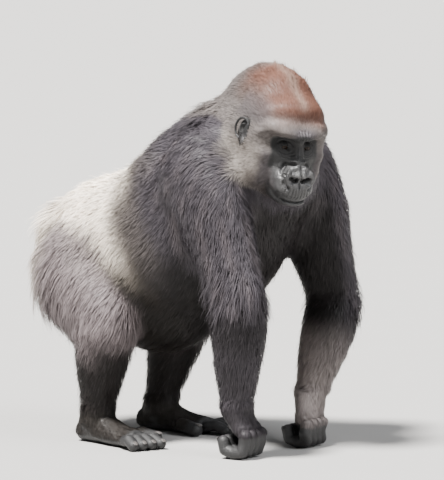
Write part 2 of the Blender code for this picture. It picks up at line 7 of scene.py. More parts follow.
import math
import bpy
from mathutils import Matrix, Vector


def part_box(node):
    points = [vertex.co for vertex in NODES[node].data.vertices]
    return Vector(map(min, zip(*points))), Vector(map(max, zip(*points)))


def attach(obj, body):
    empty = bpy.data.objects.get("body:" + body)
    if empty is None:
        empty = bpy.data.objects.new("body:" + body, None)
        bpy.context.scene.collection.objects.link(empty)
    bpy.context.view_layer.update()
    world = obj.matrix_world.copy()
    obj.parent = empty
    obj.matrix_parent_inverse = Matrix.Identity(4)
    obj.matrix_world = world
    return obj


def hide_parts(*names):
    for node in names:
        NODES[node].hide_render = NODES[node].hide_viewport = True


bl_info = {
    "name": "Standing Gorilla",
    "version": (1, 0, 0),
    "blender": (4, 5, 0),
    "location": "3D View > Sidebar > Gorilla",
    "description": "Skin, face, eyes, nails and coat of a life-size gorilla model",
    "category": "Add Mesh",
}

import bmesh
import bpy
import numpy as np
from mathutils import Euler, Matrix, Vector
from mathutils.kdtree import KDTree

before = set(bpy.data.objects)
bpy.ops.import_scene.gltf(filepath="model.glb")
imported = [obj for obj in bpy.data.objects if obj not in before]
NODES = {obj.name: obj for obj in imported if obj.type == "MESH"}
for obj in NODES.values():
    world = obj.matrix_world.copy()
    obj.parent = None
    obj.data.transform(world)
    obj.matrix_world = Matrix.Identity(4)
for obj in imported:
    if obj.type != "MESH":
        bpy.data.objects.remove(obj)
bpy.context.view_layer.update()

RIGHT, LEFT = -1, 1
SIDE_NAMES = {RIGHT: "right", LEFT: "left"}
LIMBS = ("upper_arm", "forearm", "hand", "thigh", "shank", "foot")
FLESH = ["head", "neck", "chest", "abdomen", "pelvis"] + [
    f"{limb}_{side}" for limb in LIMBS + ("ear",) for side in ("right", "left")
]


# ---- The figure's frame ----
def at(forward, up, out=0.0):
    """A place in the head's own frame: forward out of the face, up, and out to the side."""
    return Vector((out, -forward, up))


HEAD_TURN = Euler((math.radians(15), math.radians(4), math.radians(-30))).to_matrix()
EYE_AHEAD, EYE_OUT, EYE_RADIUS = 0.0925, 0.036, 0.0145


def middle_of(node):
    low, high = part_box(node)
    return (low + high) / 2


HEAD_PLACE = (middle_of("eye_right") + middle_of("eye_left")) / 2 - HEAD_TURN @ at(EYE_AHEAD, 0)
# the joints and marks below are laid out round a head that stands here
HEAD_AS_LAID_OUT = Vector((-0.092, -0.356, 0.912))
SHIFT = HEAD_PLACE - HEAD_AS_LAID_OUT
HEAD_MATRIX = Matrix.Translation(HEAD_PLACE) @ HEAD_TURN.to_4x4()
HEAD_AXES = np.array(HEAD_TURN)
HEAD_ORIGIN = np.array(HEAD_PLACE)


def joints(right, left):
    return {RIGHT: Vector(right) + SHIFT, LEFT: Vector(left) + SHIFT}


HIP = joints((-0.115, 0.312, 0.525), (0.115, 0.312, 0.525))
KNEE = joints((-0.215, 0.145, 0.345), (0.206, 0.155, 0.342))
ANKLE = joints((-0.180, 0.220, 0.095), (0.128, 0.205, 0.095))
TOES = joints((-0.225, 0.015, 0.018), (0.150, 0.000, 0.018))
SHOULDER = joints((-0.195, -0.168, 0.785), (0.190, -0.250, 0.785))
ELBOW = joints((-0.250, -0.322, 0.455), (0.285, -0.318, 0.405))
WRIST = joints((-0.225, -0.295, 0.150), (0.130, -0.325, 0.155))
KNUCKLES = joints((-0.215, -0.305, 0.03), (0.075, -0.340, 0.03))


def turned_to_head(directions):
    """Directions as rows of (out, up, forward) in the head's frame."""
    local = directions @ HEAD_AXES
    return np.stack([local[:, 0], local[:, 2], -local[:, 1]], axis=1)


def in_head(points):
    """Places as rows of (out, up, forward) in the head's frame."""
    return turned_to_head(points - HEAD_ORIGIN)


def on_body(x, y, z):
    """A place on the figure as first laid out, moved to where it stands."""
    return Vector((x, y, z)) + SHIFT


def on_head(forward, up, out=0.0):
    return HEAD_MATRIX @ at(forward, up, out)


def ramp(low, high, value):
    """0 at low, 1 at high, with soft ends; low may be the larger one."""
    t = np.clip((value - low) / (high - low), 0, 1)
    return t * t * (3 - 2 * t)


def unit(rows):
    return rows / np.maximum(np.linalg.norm(rows, axis=1, keepdims=True), 1e-9)


# ---- Settings ----
def colour_property(name, description, default):
    return bpy.props.FloatVectorProperty(
        name=name, description=description, subtype="COLOR", size=3, min=0, max=1, default=default
    )


def length_property(name, description, default):
    return bpy.props.FloatProperty(
        name=name, description=description, unit="LENGTH", min=0, default=default
    )


class GorillaSkinSettings(bpy.types.PropertyGroup):
    body_grain: length_property("Body grain", "Spacing of the skin's points on the body", 0.005)
    face_slate: colour_property("Face", "Bare skin of face and hands", (0.008, 0.008, 0.0084))
    # the lighter tone of bare skin is painted light, laid on nose, muzzle and ear lobes
    face_light: colour_property("Face painted light", "Painted light on bare skin", (0.070, 0.069, 0.071))
    nail_colour: colour_property("Nails", "Nails of fingers and toes", (0.05, 0.046, 0.044))
    iris_colour: colour_property("Iris", "Ring round the pupil", (0.010, 0.0055, 0.0030))


class GorillaCoatSettings(bpy.types.PropertyGroup):
    tufts: bpy.props.IntProperty(
        name="Tufts", description="How many tufts the whole coat has", min=1000, default=196000
    )
    # saddle and thigh also serve as painted light, and dark as painted shade, on some parts of the
    # coat
    saddle: colour_property("Saddle", "Pale hair of the back and rump", (0.88, 0.79, 0.68))
    flank: colour_property("Flank", "Mixed hair between saddle and belly", (0.096, 0.083, 0.073))
    charcoal: colour_property("Shoulder", "Grey hair of shoulders and arms", (0.045, 0.040, 0.046))
    dark: colour_property("Dark", "Hair of belly and lower limbs", (0.0045, 0.0035, 0.0030))
    thigh: colour_property("Thigh", "Light grey hair of the thighs", (0.158, 0.132, 0.136))
    crown: colour_property("Crown", "Chestnut cap on the head", (0.088, 0.037, 0.024))
    grizzle: colour_property("Grizzle", "Light hair of cheeks and nape", (0.112, 0.099, 0.094))


class GorillaStudioSettings(bpy.types.PropertyGroup):
    floor_colour: colour_property("Floor", "The plain pale floor", (0.345, 0.339, 0.331))
    key_strength: bpy.props.FloatProperty(
        name="Key light", description="Strength of the soft light from high up", min=0, default=20.0
    )
    fill_strength: bpy.props.FloatProperty(
        name="Room light", description="Strength of the even light all round", min=0, default=0.30
    )


def skin_settings():
    return bpy.context.scene.gorilla_skin


def coat_settings():
    return bpy.context.scene.gorilla_coat


# ---- Mesh helpers ----
def new_object(name, mesh):
    obj = bpy.data.objects.new(name, mesh)
    bpy.context.scene.collection.objects.link(obj)
    return obj


def shaped(obj):
    """Applies every modifier of an object."""
    graph = bpy.context.evaluated_depsgraph_get()
    made = bpy.data.meshes.new_from_object(obj.evaluated_get(graph))
    old = obj.data
    obj.modifiers.clear()
    obj.data = made
    bpy.data.meshes.remove(old)
    return obj


def read(items, name, width, kind=np.float32):
    """One property of all the items, in rows of the given width."""
    rows = np.empty(len(items) * width, dtype=kind)
    items.foreach_get(name, rows)
    return rows.reshape(-1, width)


def coordinates(mesh):
    return read(mesh.vertices, "co", 3, float)


def set_coordinates(mesh, rows):
    mesh.vertices.foreach_set("co", np.ascontiguousarray(rows, dtype=np.float32).ravel())
    mesh.update()


def normals_of(mesh):
    mesh.update()
    return read(mesh.vertex_normals, "vector", 3).astype(float)


def edges_of(mesh):
    return read(mesh.edges, "vertices", 2, np.int32)


def averaged(values, edges, rounds, weight):
    """Moves each point's value towards its neighbours' mean, weight being a number or one each."""
    count = len(values)
    near = np.bincount(edges.ravel(), minlength=count).astype(float)
    near = np.maximum(near, 1)[:, None]
    flat = values.reshape(count, -1).copy()
    weight = np.broadcast_to(np.asarray(weight, dtype=float), (count,))[:, None]
    start, end = edges.T
    for _ in range(rounds):
        total = np.empty_like(flat)
        for k, column in enumerate(flat.T):
            total[:, k] = np.bincount(start, column[end], minlength=count)
            total[:, k] += np.bincount(end, column[start], minlength=count)
        flat += weight * (total / near - flat)
    return flat.reshape(values.shape)


def opened(mesh):
    bm = bmesh.new()
    bm.from_mesh(mesh)
    return bm


def closed(bm, mesh):
    bm.to_mesh(mesh)
    bm.free()
    return mesh


def smooth_shaded(mesh):
    for polygon in mesh.polygons:
        polygon.use_smooth = True


def mesh_from(name, points, faces):
    mesh = bpy.data.meshes.new(name)
    mesh.from_pydata([tuple(p) for p in points], [], faces)
    mesh.update()
    return mesh


def set_attribute(mesh, name, kind, values):
    layer = mesh.attributes.new(name, kind, "POINT")
    key = "color" if kind == "FLOAT_COLOR" else "value"
    layer.data.foreach_set(key, np.ascontiguousarray(values, dtype=np.float32).ravel())


# ---- Where the coat lies, and how ----
# length of the tufts, depth of the coat over the skin, spacing weight, width
COAT_FORMS = {
    "head": (0.015, 0.0055, 1.80, 0.0014),
    "neck": (0.028, 0.0120, 1.05, 0.0017),
    "chest": (0.029, 0.0120, 1.00, 0.0018),
    "abdomen": (0.031, 0.0130, 0.95, 0.0018),
    "pelvis": (0.040, 0.0170, 0.95, 0.0019),
    "upper_arm": (0.032, 0.0125, 1.02, 0.0018),
    "forearm": (0.028, 0.0110, 1.05, 0.0017),
    "hand": (0.017, 0.0030, 1.25, 0.0015),
    "thigh": (0.040, 0.0160, 0.95, 0.0019),
    "shank": (0.028, 0.0110, 1.05, 0.0017),
    "foot": (0.012, 0.0020, 1.25, 0.0014),
    "ear": (0.008, 0.0010, 0.00, 0.0015),
}


def form_of(node):
    return node.replace("_right", "").replace("_left", "")


def forms_of(nodes):
    return np.array([form_of(node) for node in nodes])


# a place on the left or in the middle of the body, and the way the hair runs there
BODY_HINTS = (
    (0, -0.14, 1.00, 0, 0.9, -0.4),
    (0, 0.00, 0.91, 0, 0.9, -0.4),
    (0, 0.15, 0.84, 0, 0.95, -0.3),
    (0, 0.32, 0.77, 0, 0.95, -0.35),
    (0, 0.45, 0.66, 0, 0.6, -0.8),
    (0, 0.46, 0.52, 0, 0.3, -1.0),
    (0, 0.10, 0.30, 0, 1.0, 0.0),
    (0, -0.12, 0.42, 0, 0.8, -0.6),
    (0, -0.33, 0.60, 0, 0.0, -1.0),
    (0, -0.36, 0.72, 0, 0.1, -1.0),
    (0.12, -0.10, 0.98, 0.25, 0.55, -0.8),
    (0.22, -0.14, 0.90, 0.35, 0.45, -0.85),
    (0.27, -0.05, 0.78, 0.10, 0.65, -0.75),
    (0.15, 0.10, 0.84, 0.15, 0.85, -0.5),
    (0.26, 0.08, 0.70, 0.05, 0.75, -0.65),
    (0.25, 0.12, 0.52, 0.0, 0.65, -0.75),
    (0.22, 0.02, 0.40, -0.1, 0.7, -0.6),
    (0.18, 0.30, 0.74, 0.25, 0.80, -0.55),
    (0.17, 0.43, 0.60, 0.25, 0.65, -0.75),
    (0.13, 0.45, 0.48, 0.15, 0.50, -0.90),
    (0.14, -0.32, 0.66, -0.1, -0.1, -1.0),
)
# the same on the head, as forward, up and out
HEAD_HINTS = (
    (0.12, 0.07, 0, -0.4, 1.0, 0),
    (0.08, 0.12, 0, -0.9, 0.6, 0),
    (-0.02, 0.17, 0, -1.0, 0.05, 0),
    (-0.15, 0.14, 0, -0.7, -0.7, 0),
    (0.10, -0.160, 0, -0.5, -1.0, 0),
    (0.02, -0.165, 0, -0.8, -0.6, 0),
    (0.135, 0.005, 0, -0.2, 1.0, 0),
    (0.095, 0.065, 0.070, -0.6, 0.80, 0.35),
    (0.070, 0.045, 0.105, -0.8, 0.50, 0.40),
    (0.030, 0.085, 0.105, -1.0, 0.30, 0.10),
    (0.000, 0.020, 0.125, -1.0, -0.10, 0.10),
    (0.065, -0.020, 0.100, -0.9, -0.15, 0.50),
    (0.055, -0.070, 0.100, -0.8, -0.50, 0.35),
    (0.040, -0.120, 0.085, -0.6, -0.80, 0.20),
    (0.060, -0.150, 0.050, -0.4, -1.00, 0.10),
    (-0.080, 0.010, 0.130, -0.8, -0.50, 0.10),
    (-0.090, 0.100, 0.080, -0.9, -0.30, 0.10),
    (0.110, -0.100, 0.060, -0.6, -0.80, 0.40),
)


def limb_hints(side):
    for start, end, back in (
        (SHOULDER[side], ELBOW[side], 0.25),
        (ELBOW[side], WRIST[side], 0.20),
        (HIP[side], KNEE[side], 0.75),
        (KNEE[side], ANKLE[side], 0.25),
    ):
        along = (end - start).normalized() + Vector((0, back, 0))
        for part in (0.1, 0.4, 0.7, 0.95):
            yield start.lerp(end, part), along
    yield ELBOW[side] + Vector((0, 0.07, 0.03)), Vector((0, 0.8, -0.6))
    yield WRIST[side], Vector((0, 0.1, -1))
    yield KNUCKLES[side], Vector((0, -0.3, -1))
    yield ANKLE[side], Vector((0, -0.3, -1))
    yield TOES[side], Vector((0, -1, -0.2))


def lie_hints():
    """Places on the figure and the way the hair runs there, the left mirrored on the right."""
    hints = [*limb_hints(RIGHT), *limb_hints(LEFT)]
    for x, y, z, u, v, w in BODY_HINTS:
        for side in (RIGHT, LEFT) if x else (0,):
            hints.append((on_body(side * x, y, z), Vector((side * u, v, w))))
    for ahead, up, out, forward, upward, outward in HEAD_HINTS:
        for side in (RIGHT, LEFT) if out else (0,):
            way = HEAD_TURN @ at(forward, upward, side * outward)
            hints.append((on_head(ahead, up, side * out), way))
    places, ways = (np.array([list(row) for row in rows]) for rows in zip(*hints))
    return places, unit(ways)


def along_skin(ways, normals):
    return ways - (ways * normals).sum(axis=1, keepdims=True) * normals


BATCH, HINT_SOFTNESS = 20000, 0.0012


def lie_of_hair(points, normals):
    """The way the hair runs at each point, along the skin."""
    places, ways = lie_hints()
    run = np.empty_like(points)
    for start in range(0, len(points), BATCH):
        part = slice(start, start + BATCH)
        gap = ((points[part, None, :] - places[None, :, :]) ** 2).sum(axis=2)
        weight = 1.0 / (gap + HINT_SOFTNESS) ** 2
        run[part] = weight @ ways / weight.sum(axis=1, keepdims=True)
    return unit(along_skin(run, normals))


def fringes():
    """Places where the hair stands longer: place, reach, extra length, extra rise."""
    spots = [
        (on_body(0.00, 0.40, 0.70), 0.10, 0.6, 1.0),
        (on_body(-0.05, 0.445, 0.56), 0.10, 0.6, 0.8),
        (on_body(0.05, 0.445, 0.56), 0.10, 0.6, 0.8),
        (on_body(-0.11, -0.12, 0.985), 0.065, 1.4, 3.4),
        (on_body(0.05, -0.12, 0.985), 0.065, 1.4, 3.4),
        (on_body(0.00, 0.11, 0.86), 0.130, 0.3, 0.9),
        (on_body(0.00, 0.12, 0.30), 0.16, 0.5, 0.4),
        (on_head(0.000, 0.175), 0.070, 0.5, 1.3),
        (on_head(-0.090, 0.130), 0.070, 0.5, 1.3),
    ]
    for ahead, up, out in ((0.135, 0.052, 0.0), (0.115, 0.048, 0.062), (0.115, 0.048, -0.062)):
        spots.append((on_head(ahead, up, out), 0.055 if out == 0 else 0.045, -0.35, -0.60))
    for side in (RIGHT, LEFT):
        elbow, thigh = ELBOW[side], HIP[side].lerp(KNEE[side], 0.6)
        spots += [
            (elbow + Vector((side * 0.05, 0.060, 0.03)), 0.060, 1.5, 2.0),
            (elbow + Vector((side * 0.02, -0.050, 0.03)), 0.060, 1.1, 1.6),
            (elbow.lerp(WRIST[side], 0.30), 0.060, -0.2, -0.45),
            (on_body(side * 0.09, 0.41, 0.70), 0.045, 1.2, 1.8),
            (on_body(side * 0.22, 0.39, 0.555), 0.065, 1.0, 1.6),
            (on_body(side * 0.23, 0.39, 0.45), 0.065, 0.8, 1.3),
            (on_head(0.060, -0.060, side * 0.100), 0.070, -0.25, -0.35),
            (thigh + Vector((side * 0.02, 0.12, -0.04)), 0.12, 0.5, 0.5),
            (KNEE[side] + Vector((0, -0.02, 0.02)), 0.08, 0.8, 1.3),
        ]
    return spots


def split_head(points):
    """Distance from the head's middle plane, height and depth, in the head's frame."""
    head = in_head(points)
    return np.abs(head[:, 0]), head[:, 1], head[:, 2]


def bareness(points, normals, nodes):
    """1 where the skin is bare: the face, the insides of hands, the soles and the ears."""
    out, up, ahead = split_head(points)
    eyes = ramp(0.082, 0.068, out) * ramp(0.056, 0.040, up + out * 0.36)
    eyes *= ramp(-0.075, -0.055, up)
    muzzle = ramp(0.074, 0.056, out - (up + 0.10) * 0.10) * ramp(-0.02, -0.04, up)
    muzzle *= ramp(-0.172, -0.150, up)
    face = np.maximum(eyes, muzzle) * ramp(0.055, 0.085, ahead)
    beside = ((ahead - 0.008) / 0.026) ** 2 + ((up - 0.014) / 0.040) ** 2
    socket = ramp(1.2, 0.7, beside) * (out > 0.08)
    bare = np.where(nodes == "head", np.maximum(face, socket), 0.0)
    bare = np.where(nodes == "ear", 1.0, bare)
    under = ramp(-0.1, -0.5, normals[:, 2])
    for side in (RIGHT, LEFT):
        mine = points[:, 0] * side > 0
        fist = ramp(0.085, 0.055, points[:, 2])
        bare = np.where(mine & (nodes == "hand"), np.maximum(fist, under), bare)
        toes = ramp(0.075, 0.045, points[:, 1] - TOES[side].y)
        sole = ramp(0.030, 0.018, points[:, 2])
        foot = np.maximum(np.maximum(toes, sole), under)
        bare = np.where(mine & (nodes == "foot"), foot, bare)
    return bare


def polish_of(points, nodes):
    """How light and glossy the bare skin is: painted light and gloss on nose, lips and ears,
    painted shade round the eyes and in the ear's hollow.
    """
    out, up, ahead = split_head(points)
    muzzle = ramp(-0.024, -0.046, up + 0.030 * ramp(0.020, 0.045, out))
    muzzle *= ramp(0.035, 0.085, ahead)
    # painted highlight on the nose, which is also made glossier
    nose = np.exp(-((out / 0.044) ** 2) - ((up + 0.075) / 0.035) ** 2)
    light = np.where(nodes == "head", muzzle * (0.28 + 0.72 * nose), 0.16)
    # ears: painted light on the lobe and fold, painted shade in the hollow
    lobe = ramp(0.012, -0.004, up)
    fold = np.exp(-(((ahead - 0.002) / 0.005) ** 2) - ((up - 0.012) / 0.008) ** 2)
    return np.where(nodes == "ear", 0.03 + 0.85 * np.maximum(lobe, fold), light)


def markings(points, normals, nodes, coat):
    """The coat's colour at each point: saddle, flank, shoulder, dark parts, crown and grizzle, with
    painted light and shade on some parts.
    """
    x, y, z = (points - np.array(SHIFT)).T
    out, up, ahead = split_head(points)
    ripple = 0.02 * np.sin(x * 31 + z * 17) + 0.015 * np.sin(y * 43 - z * 29 + 1.3)
    colour = np.tile(np.array(coat.charcoal), (len(points), 1))

    def paint(tone, amount):
        colour[:] += (np.array(getattr(coat, tone)) - colour) * amount[:, None]

    def on(*forms):
        return np.isin(nodes, forms) * 1.0

    # the trunk, from the dark shoulders over the flanks to the pale saddle
    paint("flank", ramp(-0.05, 0.12, y - (z - 0.70) * 0.20 + ripple))
    pale = ramp(0.040, 0.205, y - (z - 0.585) * 0.06 + ripple)
    paint("saddle", pale * ramp(0.52, 0.70, z - (y - 0.3) * 0.45 + ripple))
    haunch = ramp(0.66, 0.54, z + ripple) * ramp(0.16, 0.30, y) * on("pelvis")
    paint("thigh", np.maximum(on("thigh", "shank") * 0.9, haunch * 0.8))
    paint("saddle", ramp(0.34, 0.46, y) * ramp(0.36, 0.50, z) * 0.65)
    belly = ramp(0.60, 0.44, z + ripple - y * 0.10) * ramp(0.40, 0.25, y)
    paint("dark", belly * on("chest", "abdomen", "pelvis") * 0.92)
    # the limbs: dark low down, darker on the sides facing the body (partly darker hair, partly
    # painted shade between limbs and body), and a painted shadow just below each elbow
    below = ramp(0.35, 0.25, z + ripple) * on("thigh", "shank") * 0.95
    lower = on("foot") * 0.85 + on("hand") * 0.45 + on("forearm") * 0.25
    inner = ramp(0.1, 0.7, -np.sign(x) * normals[:, 0])
    inner *= on("thigh", "shank", "upper_arm", "forearm")
    paint("dark", np.maximum(np.maximum(below, lower), inner * 0.9))
    # painted shadow on the forearm just below each elbow, under the elbow's long hair; stronger on
    # the right
    for side, shadow_strength in ((RIGHT, 0.55), (LEFT, 0.15)):
        gap = np.linalg.norm(points - np.array(ELBOW[side].lerp(WRIST[side], 0.22)), axis=1)
        paint("dark", ramp(0.11, 0.06, gap) * on("forearm", "upper_arm") * shadow_strength)
    # painted light: a lit patch on the left forearm and hand near the wrist, on the left side only
    wrist = ramp(0.40, 0.20, z + 1.5 * ripple)
    wrist = np.where(z > 0.20, wrist, ramp(0.02, 0.14, z)) * on("forearm", "hand") * (x > 0)
    paint("thigh", wrist * 0.65)
    paint("saddle", wrist * 0.10)
    # the head, grizzled all round, with a chestnut cap over brow and crown
    head = on("head")
    nape = ramp(-0.014, 0.016, z - 0.962 - (y + 0.067) * 0.75 + ripple * 0.4)
    nape *= on("neck", "chest") * ramp(0.02, -0.06, y)
    collar = np.minimum(0.0195 + 0.255 * (ahead + 0.12), 0.008 - 1.35 * (ahead + 0.060))
    above = ramp(-0.010, 0.008, up - np.minimum(collar, 0.016) + ripple * 0.2)
    paint("grizzle", np.maximum(head, nape * 0.9) * above)
    cap = ramp(0.036, 0.090, up - out * 0.06 + ripple * 0.3)
    cap *= ramp(0.120, 0.060, out) * ramp(-0.16, -0.06, ahead)
    paint("crown", cap * head * 0.92)
    # painted highlight: a pale line along the middle of the crown
    crest_highlight = np.exp(-(((in_head(points)[:, 0] - 0.004) / 0.015) ** 2))
    paint("saddle", crest_highlight * ramp(0.085, 0.115, up) * head * 0.07)
    ring = ramp(0.100, 0.078, out) * ramp(0.03, 0.07, ahead)
    ring *= ramp(-0.005, -0.035, up) * ramp(-0.15, -0.10, up)
    paint("charcoal", ring * head * 0.65)
    frown = ramp(0.062, 0.050, up) * ramp(0.055, 0.015, out) * (ahead > 0.06)
    paint("charcoal", frown * head * 0.8)
    cheek = ramp(0.02, -0.04, up) * ramp(0.085, 0.110, out) * 0.12
    paint("saddle", cheek * head * above)
    temple = ramp(0.03, 0.06, up) * ramp(0.13, 0.10, up)
    temple *= ramp(0.06, 0.09, out) * ramp(-0.07, -0.02, ahead)
    paint("charcoal", temple * ramp(0.10, 0.07, ahead) * head * 0.45)
    # chest, upper arms with painted highlight streaks, darker throat, and painted shade on the
    # undersides
    front = ramp(-0.12, -0.24, y) * ramp(0.42, 0.55, z) * on("chest")
    paint("grizzle", front * 0.30)
    # painted highlight: light streaks on the outer sides of the upper arms
    across = x * 0.8 - y
    streaks = np.sin(120 * across + 4 * np.sin(11 * z)) * np.sin(41 * across + 5 * np.sin(8 * z))
    paint("thigh", ramp(0.1, 0.9, streaks) * on("upper_arm") * (1 - inner) * 0.30)
    paint("charcoal", ramp(-0.13, -0.17, up) * head * 0.7)
    # painted shade on the downward-facing undersides of neck and chest
    under = ramp(0.0, -0.5, normals[:, 2]) * on("neck", "chest")
    paint("dark", under * ramp(0.90, 0.80, z) * 0.8)
    return np.clip(colour, 0, 1)


def blended_markings(points, normals, nodes, edges):
    """The coat's colours with their painted light and shade, soft-edged over the body and crisp on
    the head.
    """
    tone = markings(points, normals, nodes, coat_settings())
    return averaged(tone, edges, 16, 0.5 * (nodes != "head"))


# ---- Fingers and toes ----
FINGER_RADIUS, THUMB_RADIUS, TOE_RADIUS, BIG_TOE_RADIUS = 0.0175, 0.0148, 0.0162, 0.0205
FINGER_SPACING, TOE_SPACING = 0.027, 0.026
FLOOR_GAP = 0.0004


def finger_paths(side):
    """Middle lines of the curled fingers and the thumb, root to tip, with their radii."""
    wrist, knuckles = WRIST[side], KNUCKLES[side]
    down = (knuckles - wrist).normalized()
    forward = Vector((0, -1, 0))
    end = knuckles + Vector((0, -0.012, 0.062))
    digits = []
    for i in range(4):
        root = end + Vector(((i - 1.5) * FINGER_SPACING * side, 0, 0))
        reach = 1 - 0.06 * abs(i - 1.3)
        low = Vector((root.x, root.y, 0.018))
        path = [
            root + forward * 0.026 * reach + down * 0.022,
            root + forward * 0.020 * reach + down * 0.046,
            low + forward * 0.016 + Vector((0, 0, 0.004)),
            low + Vector((0, 0.012, 0)),
            low + Vector((0, 0.040, 0.008)),
            low + Vector((0, 0.046, 0.032)),
        ]
        digits.append((path, FINGER_RADIUS))
    thumb = wrist - Vector((side * 0.044, -0.004, 0.025))
    root = thumb + Vector((-side * 0.012, -0.004, -0.035))
    tip = thumb + Vector((-side * 0.008, -0.002, -0.068))
    return digits + [([root, tip], THUMB_RADIUS)]


def toe_paths(side):
    """Middle lines of the toes, root to tip, with their radii; the big toe comes last."""
    ankle, toes = ANKLE[side], TOES[side]
    ahead = Vector((toes.x - ankle.x, toes.y - ankle.y, 0)).normalized()
    across = Vector((-ahead.y, ahead.x, 0)) * -side
    heel = Vector((ankle.x, ankle.y, 0.037)) - ahead * 0.045
    ball = Vector((toes.x, toes.y, 0.026)) - ahead * 0.055
    digits = []
    for i in range(4):
        root = ball - across * (i - 1.1) * TOE_SPACING + ahead * 0.010
        length = 0.075 - 0.007 * i
        fan = ahead - across * 0.07 * i
        tip = Vector((root.x, root.y, 0.0165)) + fan * length
        path = [root + fan * 0.012, root + fan * length * 0.55 + Vector((0, 0, 0.004)), tip]
        digits.append((path, TOE_RADIUS))
    big = heel.lerp(ball, 0.62) + across * 0.035
    tip = Vector((big.x, big.y, 0.0206)) + ahead * 0.085 + across * 0.045
    digits.append(([big + ahead * 0.035 + across * 0.035, tip], BIG_TOE_RADIUS))
    return digits


def all_digits():
    return [d for side in (RIGHT, LEFT) for d in finger_paths(side) + toe_paths(side)]


def along_line(points, start, end):
    """The nearest place to each point on the straight line from start to end."""
    start, end = np.array(start), np.array(end)
    along = end - start
    share = np.clip(((points - start) @ along) / max(along @ along, 1e-12), 0, 1)
    return start + share[:, None] * along


def near_digits(points):
    """Distance over the surface of the nearest digit, and that surface's nearest place."""
    best = np.full(len(points), 1e9)
    place = points.copy()
    for path, radius in all_digits():
        for start, end in zip(path[:-1], path[1:]):
            axis = along_line(points, start, end)
            away = points - axis
            gap = np.linalg.norm(away, axis=1) - radius
            closer = gap < best
            best[closer] = gap[closer]
            place[closer] = (axis + unit(away) * radius)[closer]
    return best, place


def shape_digits(mesh):
    """Draws the skin of hands and feet in round each finger and toe, so that they part."""
    for _ in range(2):
        points = coordinates(mesh)
        low = np.nonzero(points[:, 2] < 0.14)[0]
        gap, place = near_digits(points[low])
        near = ramp(0.009, 0.002, gap) * ramp(-0.012, -0.004, gap)
        points[low] += (place - points[low]) * near[:, None] * 0.8
        points[:, 2] = np.maximum(points[:, 2], FLOOR_GAP)
        set_coordinates(mesh, points)


# ---- The skin ----
# how far each solid grows to close the gaps, and the grain of the ears
JOIN_GROW, EAR_GRAIN = 0.0008, 0.0014
# how far the lids stand off the eyeball, and how deep the skin dips behind their opening
LID_STAND, SLIT_DEPTH = 0.0024, 0.0035
LIP_STEP, LIP_HEIGHT, LIP_BEND = 0.0082, -0.1465, 4.0


def joined_solids(names):
    """The named nodes in one mesh, each a little grown so that the gaps between them close."""
    whole = bmesh.new()
    for name in names:
        part = opened(NODES[name].data)
        bmesh.ops.remove_doubles(part, verts=part.verts, dist=1e-5)
        part.normal_update()
        for vertex in part.verts:
            vertex.co += vertex.normal * JOIN_GROW
        spare = closed(part, bpy.data.meshes.new("spare"))
        whole.from_mesh(spare)
        bpy.data.meshes.remove(spare)
    return closed(whole, bpy.data.meshes.new("skin"))


def node_at(points):
    """The name of the node nearest to each point."""
    marks = []
    for name in FLESH:
        mesh = NODES[name].data
        spots = coordinates(mesh)
        corners = np.array([list(p.vertices)[:3] for p in mesh.polygons])
        for mix in ((1, 0, 0), (0.5, 0.5, 0), (0, 0.5, 0.5), (0.5, 0, 0.5), (1 / 3,) * 3):
            rows = sum(spots[corners[:, k]] * mix[k] for k in range(3))
            marks += [(row, name) for row in rows]
    tree = KDTree(len(marks))
    for i, (row, _) in enumerate(marks):
        tree.insert(row, i)
    tree.balance()
    return np.array([marks[tree.find(p)[1]][1] for p in points])


def refine(mesh, chosen, world=False):
    """Splits the faces whose middles the test picks into four."""
    bm = opened(mesh)
    bm.faces.ensure_lookup_table()
    middles = np.array([f.calc_center_median() for f in bm.faces])
    picked = chosen(middles if world else in_head(middles))
    edges = {e for i in np.nonzero(picked)[0] for e in bm.faces[i].edges}
    bmesh.ops.subdivide_edges(bm, edges=list(edges), cuts=1, use_grid_fill=True)
    closed(bm, mesh)


def segment_distance(points, path):
    """Distance of 2-D points from a path of straight parts."""
    best = np.full(len(points), 1e9)
    for start, end in zip(path[:-1], path[1:]):
        gap = points - along_line(points, start, end)
        best = np.minimum(best, np.linalg.norm(gap, axis=1))
    return best


def lip_path():
    """The line of the closed mouth, bent up at its ends."""
    across = [x * LIP_STEP for x in range(-5, 6)]
    return [(x, LIP_HEIGHT + LIP_BEND * x**2) for x in across]


BROW = [(-0.095, 0.052), (-0.045, 0.061), (0, 0.061), (0.045, 0.061), (0.095, 0.052)]
# grooves (below zero) and ridges of the face: path in (out, up), height, half width
MIDDLE_FOLDS = (
    ([(-0.030, -0.163), (0, -0.1655), (0.030, -0.163)], -0.0022, 0.0035),
    ([(0, -0.046), (0.001, -0.070), (0, -0.098)], -0.0060, 0.0026),
    ([(0, -0.100), (0, -0.136)], -0.0026, 0.0016),
    (BROW, 0.0085, 0.0150),
    ([(-0.018, -0.0350), (0, -0.0335), (0.018, -0.0350)], 0.0030, 0.0055),
)


